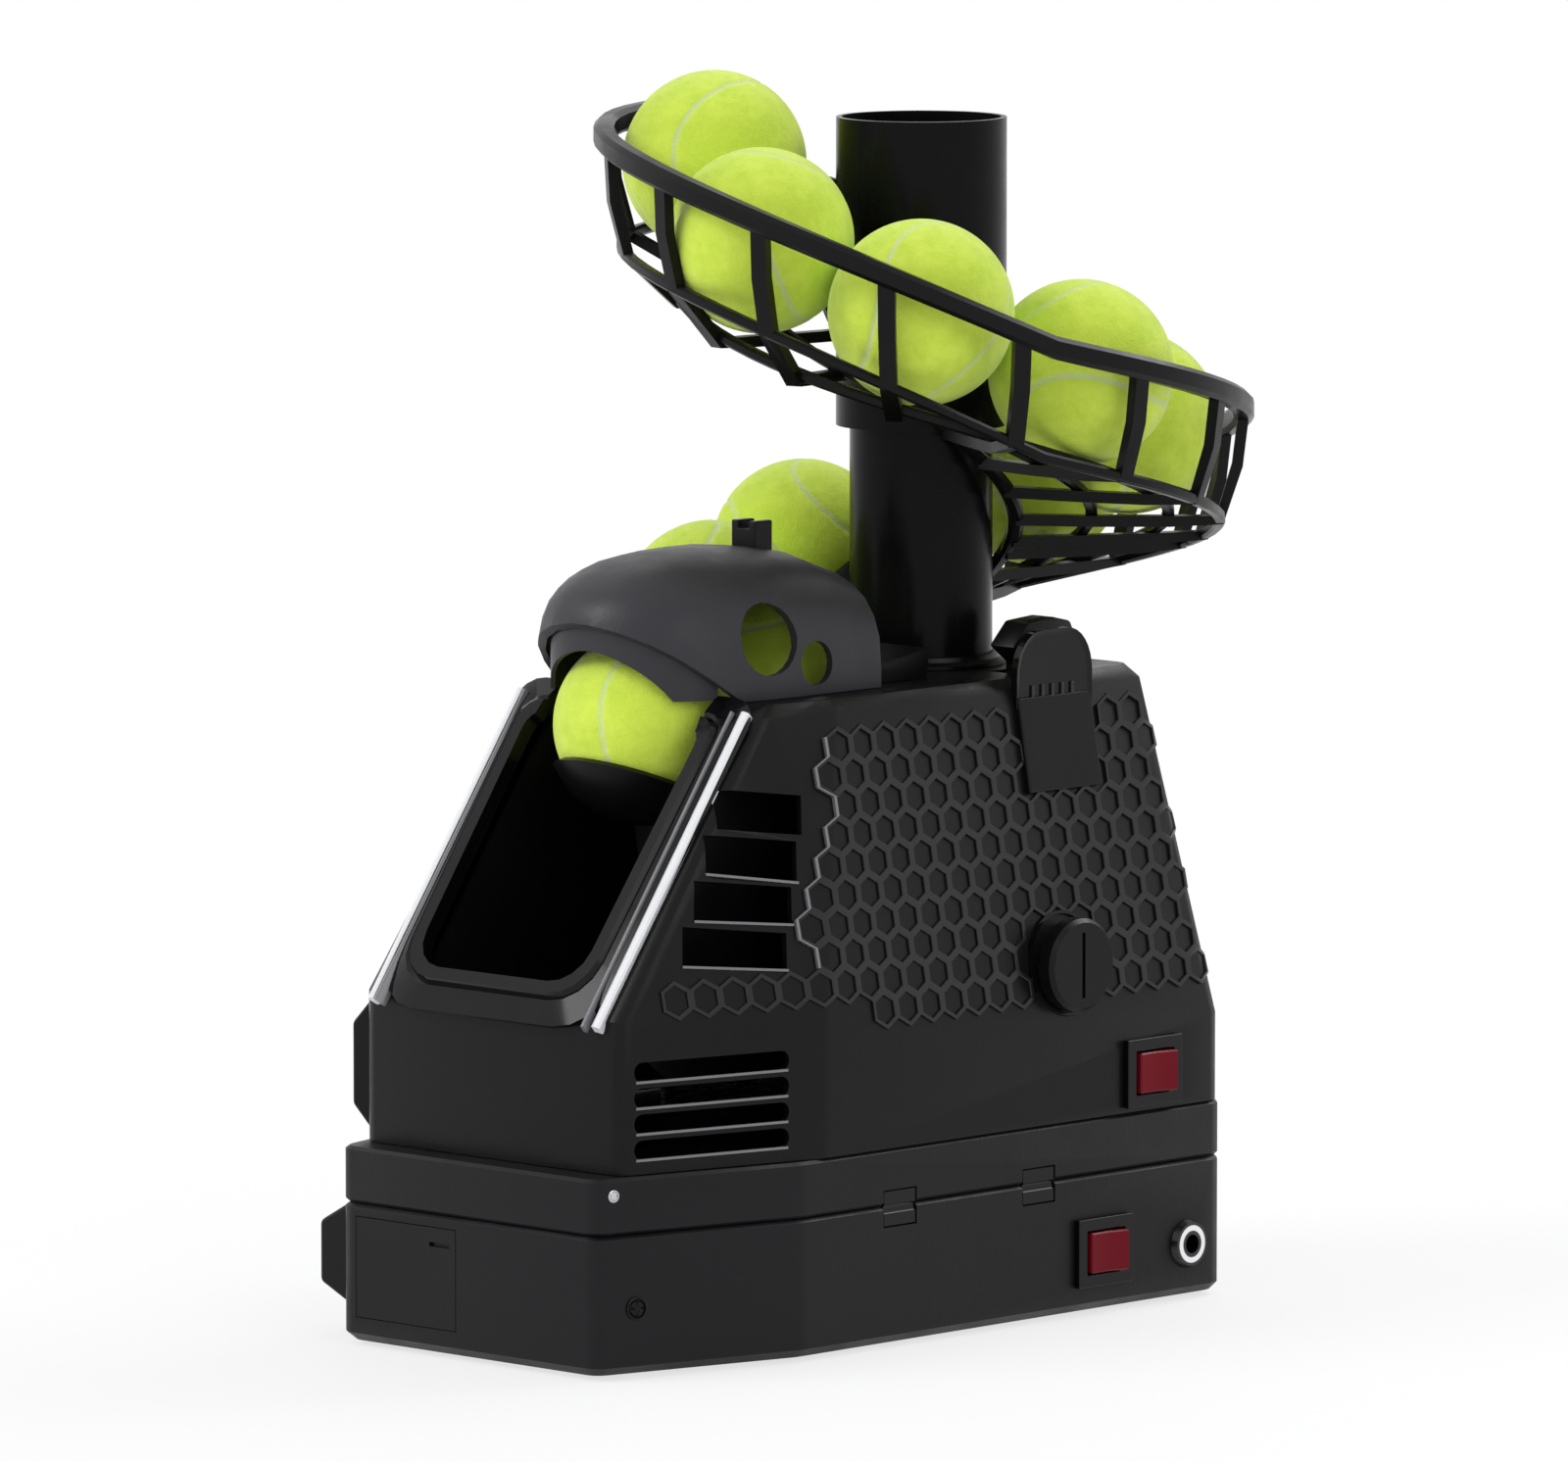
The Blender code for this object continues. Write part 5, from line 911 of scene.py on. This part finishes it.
def make_screw(name, carrier, setback, z, radius):
    """Dished screw head with a cross in it, set in the right-hand slanted wall."""
    tree = surface_of(carrier)
    place, normal = first_hit(tree, (RAY_START, back(setback), z), (-1.0, 0.0, 0.0))
    shape = bmesh.new()
    rings = []
    for reach, rise in SCREW_PROFILE:
        ring = []
        for step in range(SCREW_STEPS):
            turn = math.tau * step / SCREW_STEPS
            dip = -SCREW_CROSS if reach < SCREW_CROSS_REACH and step % SCREW_CROSS_STEPS == 0 else 0.0
            ring.append(shape.verts.new((reach * math.cos(turn), reach * math.sin(turn), rise + dip)))
        rings.append(ring)
    loft(shape, rings)
    turn = normal.to_track_quat("Z", "Y").to_matrix().to_4x4()
    matrix = Matrix.Translation(place) @ turn @ Matrix.Scale(radius, 4)
    bmesh.ops.transform(shape, matrix=matrix, verts=shape.verts)
    new_piece(name, shape, STEEL if radius < SCREW_BRIGHT else BODY)


def solid_at(tree, y, z):
    """Whether the right-hand wall is closed at one place, seen straight from the side."""
    place, normal = first_hit(tree, (RAY_START, y, z), (-1.0, 0.0, 0.0))
    return place is not None and place.x > LOUVRE_DEPTH and normal.x > SLOT_FACING


def steps_to_change(tree, y, z, step_y, step_z):
    """Steps from one place, in one direction, until the wall closes or opens."""
    was = solid_at(tree, y, z)
    for step in range(1, LOUVRE_REACH):
        if solid_at(tree, y + step * step_y, z + step * step_z) != was:
            return step
    return LOUVRE_REACH


def slot_line(tree, y, z):
    """Height of a slot's lower edge beside one open place, and how it slopes along the wall."""
    step = LOUVRE_STEP
    near = z - steps_to_change(tree, y, z, 0.0, -step) * step
    far = z - steps_to_change(tree, y + LIP_SPAN, z, 0.0, -step) * step
    return near, (far - near) / LIP_SPAN


def make_louvre_lips():
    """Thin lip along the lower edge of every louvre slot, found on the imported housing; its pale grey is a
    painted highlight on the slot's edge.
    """
    tree = surface_of("housing")
    shape = bmesh.new()
    step = LOUVRE_STEP
    for near, far, low, high in LOUVRE_ZONES:
        z = low
        while z < high:
            y = back(near + (far - near) * (z - low) / (high - low))
            z += steps_to_change(tree, y, z, 0.0, step) * step
            top = z + steps_to_change(tree, y, z, 0.0, step) * step
            if z >= high:
                break
            edge, slope = slot_line(tree, y, (z + top) / 2)
            rise = LOUVRE_INSIDE * step
            ends = []
            for way in (-step, step):
                reach = steps_to_change(tree, y, edge + rise, way, way * slope) * way
                spot = (RAY_START, y + reach, edge + reach * slope - step / 2)
                ends.append(first_hit(tree, spot, (-1.0, 0.0, 0.0)))
            if all(place is not None and place.x > LOUVRE_DEPTH for place, _ in ends):
                out = ends[1][1] * LIP_RISE
                up = Vector((0.0, 0.0, LIP_WIDTH))
                rings = []
                for place, _ in ends:
                    corners = (place - out, place + out, place + out + up, place - out + up)
                    rings.append([shape.verts.new(corner) for corner in corners])
                loft(shape, rings)
            z = top
    new_piece("louvre_lips", shape, PAINTED_DIM_HIGHLIGHT)


def make_dial_ring():
    """Low ring on the wall round the speed dial."""
    low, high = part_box("speed_dial")
    y = (low[1] + high[1]) / 2
    z = (low[2] + high[2]) / 2
    tree = surface_of("housing")
    shape = bmesh.new()
    rings = []
    for step in range(DIAL_RING_STEPS):
        turn = math.tau * step / DIAL_RING_STEPS
        ring = []
        for share, rise in DIAL_RING_SECTION:
            away = DIAL_RING_RADIUS + share * DIAL_RING_WIDTH / 2
            place, normal = side_point(tree, 1, y + away * math.cos(turn), z + away * math.sin(turn))
            ring.append(shape.verts.new(place + normal * rise))
        rings.append(ring)
    for ring, after in zip(rings, rings[1:] + rings[:1]):
        join_rings(shape, ring, after)
    new_piece("dial_ring", shape, GLOSS)


def make_details():
    for side, word in ((1, "right"), (-1, "left")):
        make_honeycomb(f"honeycomb_{word}", side)
        # Pale strip on the frame: a painted highlight
        make_frame_line(f"frame_strip_{word}", side * STRIP_X, STRIP_WIDTH, PAINTED_HIGHLIGHT)
        # Grey bead on the frame and grey line along the honeycomb's edge: painted highlights
        make_frame_line(f"frame_bead_{word}", side * BEAD_X, BEAD_WIDTH, PAINTED_DIM_HIGHLIGHT)
        make_edge_line(f"honeycomb_edge_{word}", side, PAINTED_DIM_HIGHLIGHT)
    make_guide()
    make_cover("tray_side_cover", TRAY_COVER, TRAY)
    make_cover("housing_side_cover", BODY_COVER, BODY)
    make_clip()
    make_guard()
    make_apron()
    make_louvre_lips()
    make_dial_ring()
    for screw in SCREWS:
        make_screw(*screw)


# Studio

def add_background_rays(nodes, links):
    """One for rays that look at the background: the camera's, mirrored ones and ones through glass."""
    path = add_node(nodes, "ShaderNodeLightPath")
    total = path.outputs["Is Camera Ray"]
    for kind in ("Is Glossy Ray", "Is Transmission Ray"):
        either = add_node(nodes, "ShaderNodeMath", operation="MAXIMUM")
        links.new(total, either.inputs[0])
        links.new(path.outputs[kind], either.inputs[1])
        total = either.outputs["Value"]
    return total


def make_studio():
    """World, pale floor and lamps."""
    world = bpy.data.worlds.new("studio")
    bpy.context.scene.world = world
    world.use_nodes = True
    nodes = world.node_tree.nodes
    links = world.node_tree.links
    light = nodes["Background"]
    light.inputs["Color"].default_value = WORLD_COLOUR
    light.inputs["Strength"].default_value = WORLD_LEVEL
    white = add_node(nodes, "ShaderNodeBackground")
    white.inputs["Color"].default_value = (1.0, 1.0, 1.0, 1.0)
    mix = add_node(nodes, "ShaderNodeMixShader")
    links.new(add_background_rays(nodes, links), mix.inputs["Fac"])
    links.new(light.outputs["Background"], mix.inputs[1])
    links.new(white.outputs["Background"], mix.inputs[2])
    links.new(mix.outputs["Shader"], nodes["World Output"].inputs["Surface"])
    shape = bmesh.new()
    bmesh.ops.create_grid(shape, x_segments=1, y_segments=1, size=FLOOR_HALF)
    mesh = bpy.data.meshes.new("floor")
    shape.to_mesh(mesh)
    shape.free()
    floor = bpy.data.objects.new("floor", mesh)
    floor.location = (0.0, 0.0, -FLOOR_DROP)
    bpy.context.scene.collection.objects.link(floor)
    made, nodes, links, shader = new_material("pale_floor")
    place = place_coordinates(nodes)
    tone = add_noise(nodes, links, place, FLOOR_SCALE)
    links.new(add_mix(nodes, links, tone, *FLOOR_TONES), shader.inputs["Base Color"])
    shader.inputs["Roughness"].default_value = FLOOR_ROUGHNESS
    glow = add_node(nodes, "ShaderNodeEmission")
    away = add_node(nodes, "ShaderNodeVectorMath", operation="LENGTH")
    links.new(place, away.inputs[0])
    spread = add_range(nodes, links, away.outputs["Value"], FLOOR_GLOW, 1.0, FLOOR_NEAR, FLOOR_FAR)
    share = add_node(nodes, "ShaderNodeMath", operation="MULTIPLY")
    links.new(spread, share.inputs[1])
    links.new(add_background_rays(nodes, links), share.inputs[0])
    pale = add_node(nodes, "ShaderNodeMixShader")
    links.new(share.outputs["Value"], pale.inputs["Fac"])
    links.new(shader.outputs["BSDF"], pale.inputs[1])
    links.new(glow.outputs["Emission"], pale.inputs[2])
    links.new(pale.outputs["Shader"], nodes["Material Output"].inputs["Surface"])
    mesh.materials.append(made)
    for lamp in LAMPS:
        add_lamp(*lamp)


def add_lamp(name, place, size, power):
    lamp = bpy.data.lights.new(name, "AREA")
    lamp.shape = "SQUARE"
    lamp.size = size
    lamp.energy = power
    holder = bpy.data.objects.new(name, lamp)
    holder.location = place
    aim = Vector(LAMP_TARGET) - Vector(place)
    holder.rotation_euler = aim.to_track_quat("-Z", "Y").to_euler()
    bpy.context.scene.collection.objects.link(holder)


def make_camera():
    data = bpy.data.cameras.new("camera")
    data.sensor_width = CAMERA_SENSOR
    data.sensor_fit = "HORIZONTAL"
    data.lens = CAMERA_LENS
    camera = bpy.data.objects.new("camera", data)
    camera.location = CAMERA_PLACE
    aim = Vector(CAMERA_TARGET) - Vector(CAMERA_PLACE)
    camera.rotation_euler = aim.to_track_quat("-Z", "Y").to_euler()
    bpy.context.scene.collection.objects.link(camera)
    bpy.context.scene.camera = camera


dress_nodes()
make_balls()
make_details()
soften_nodes()
make_studio()
make_camera()
bpy.context.scene.view_settings.view_transform = "Standard"
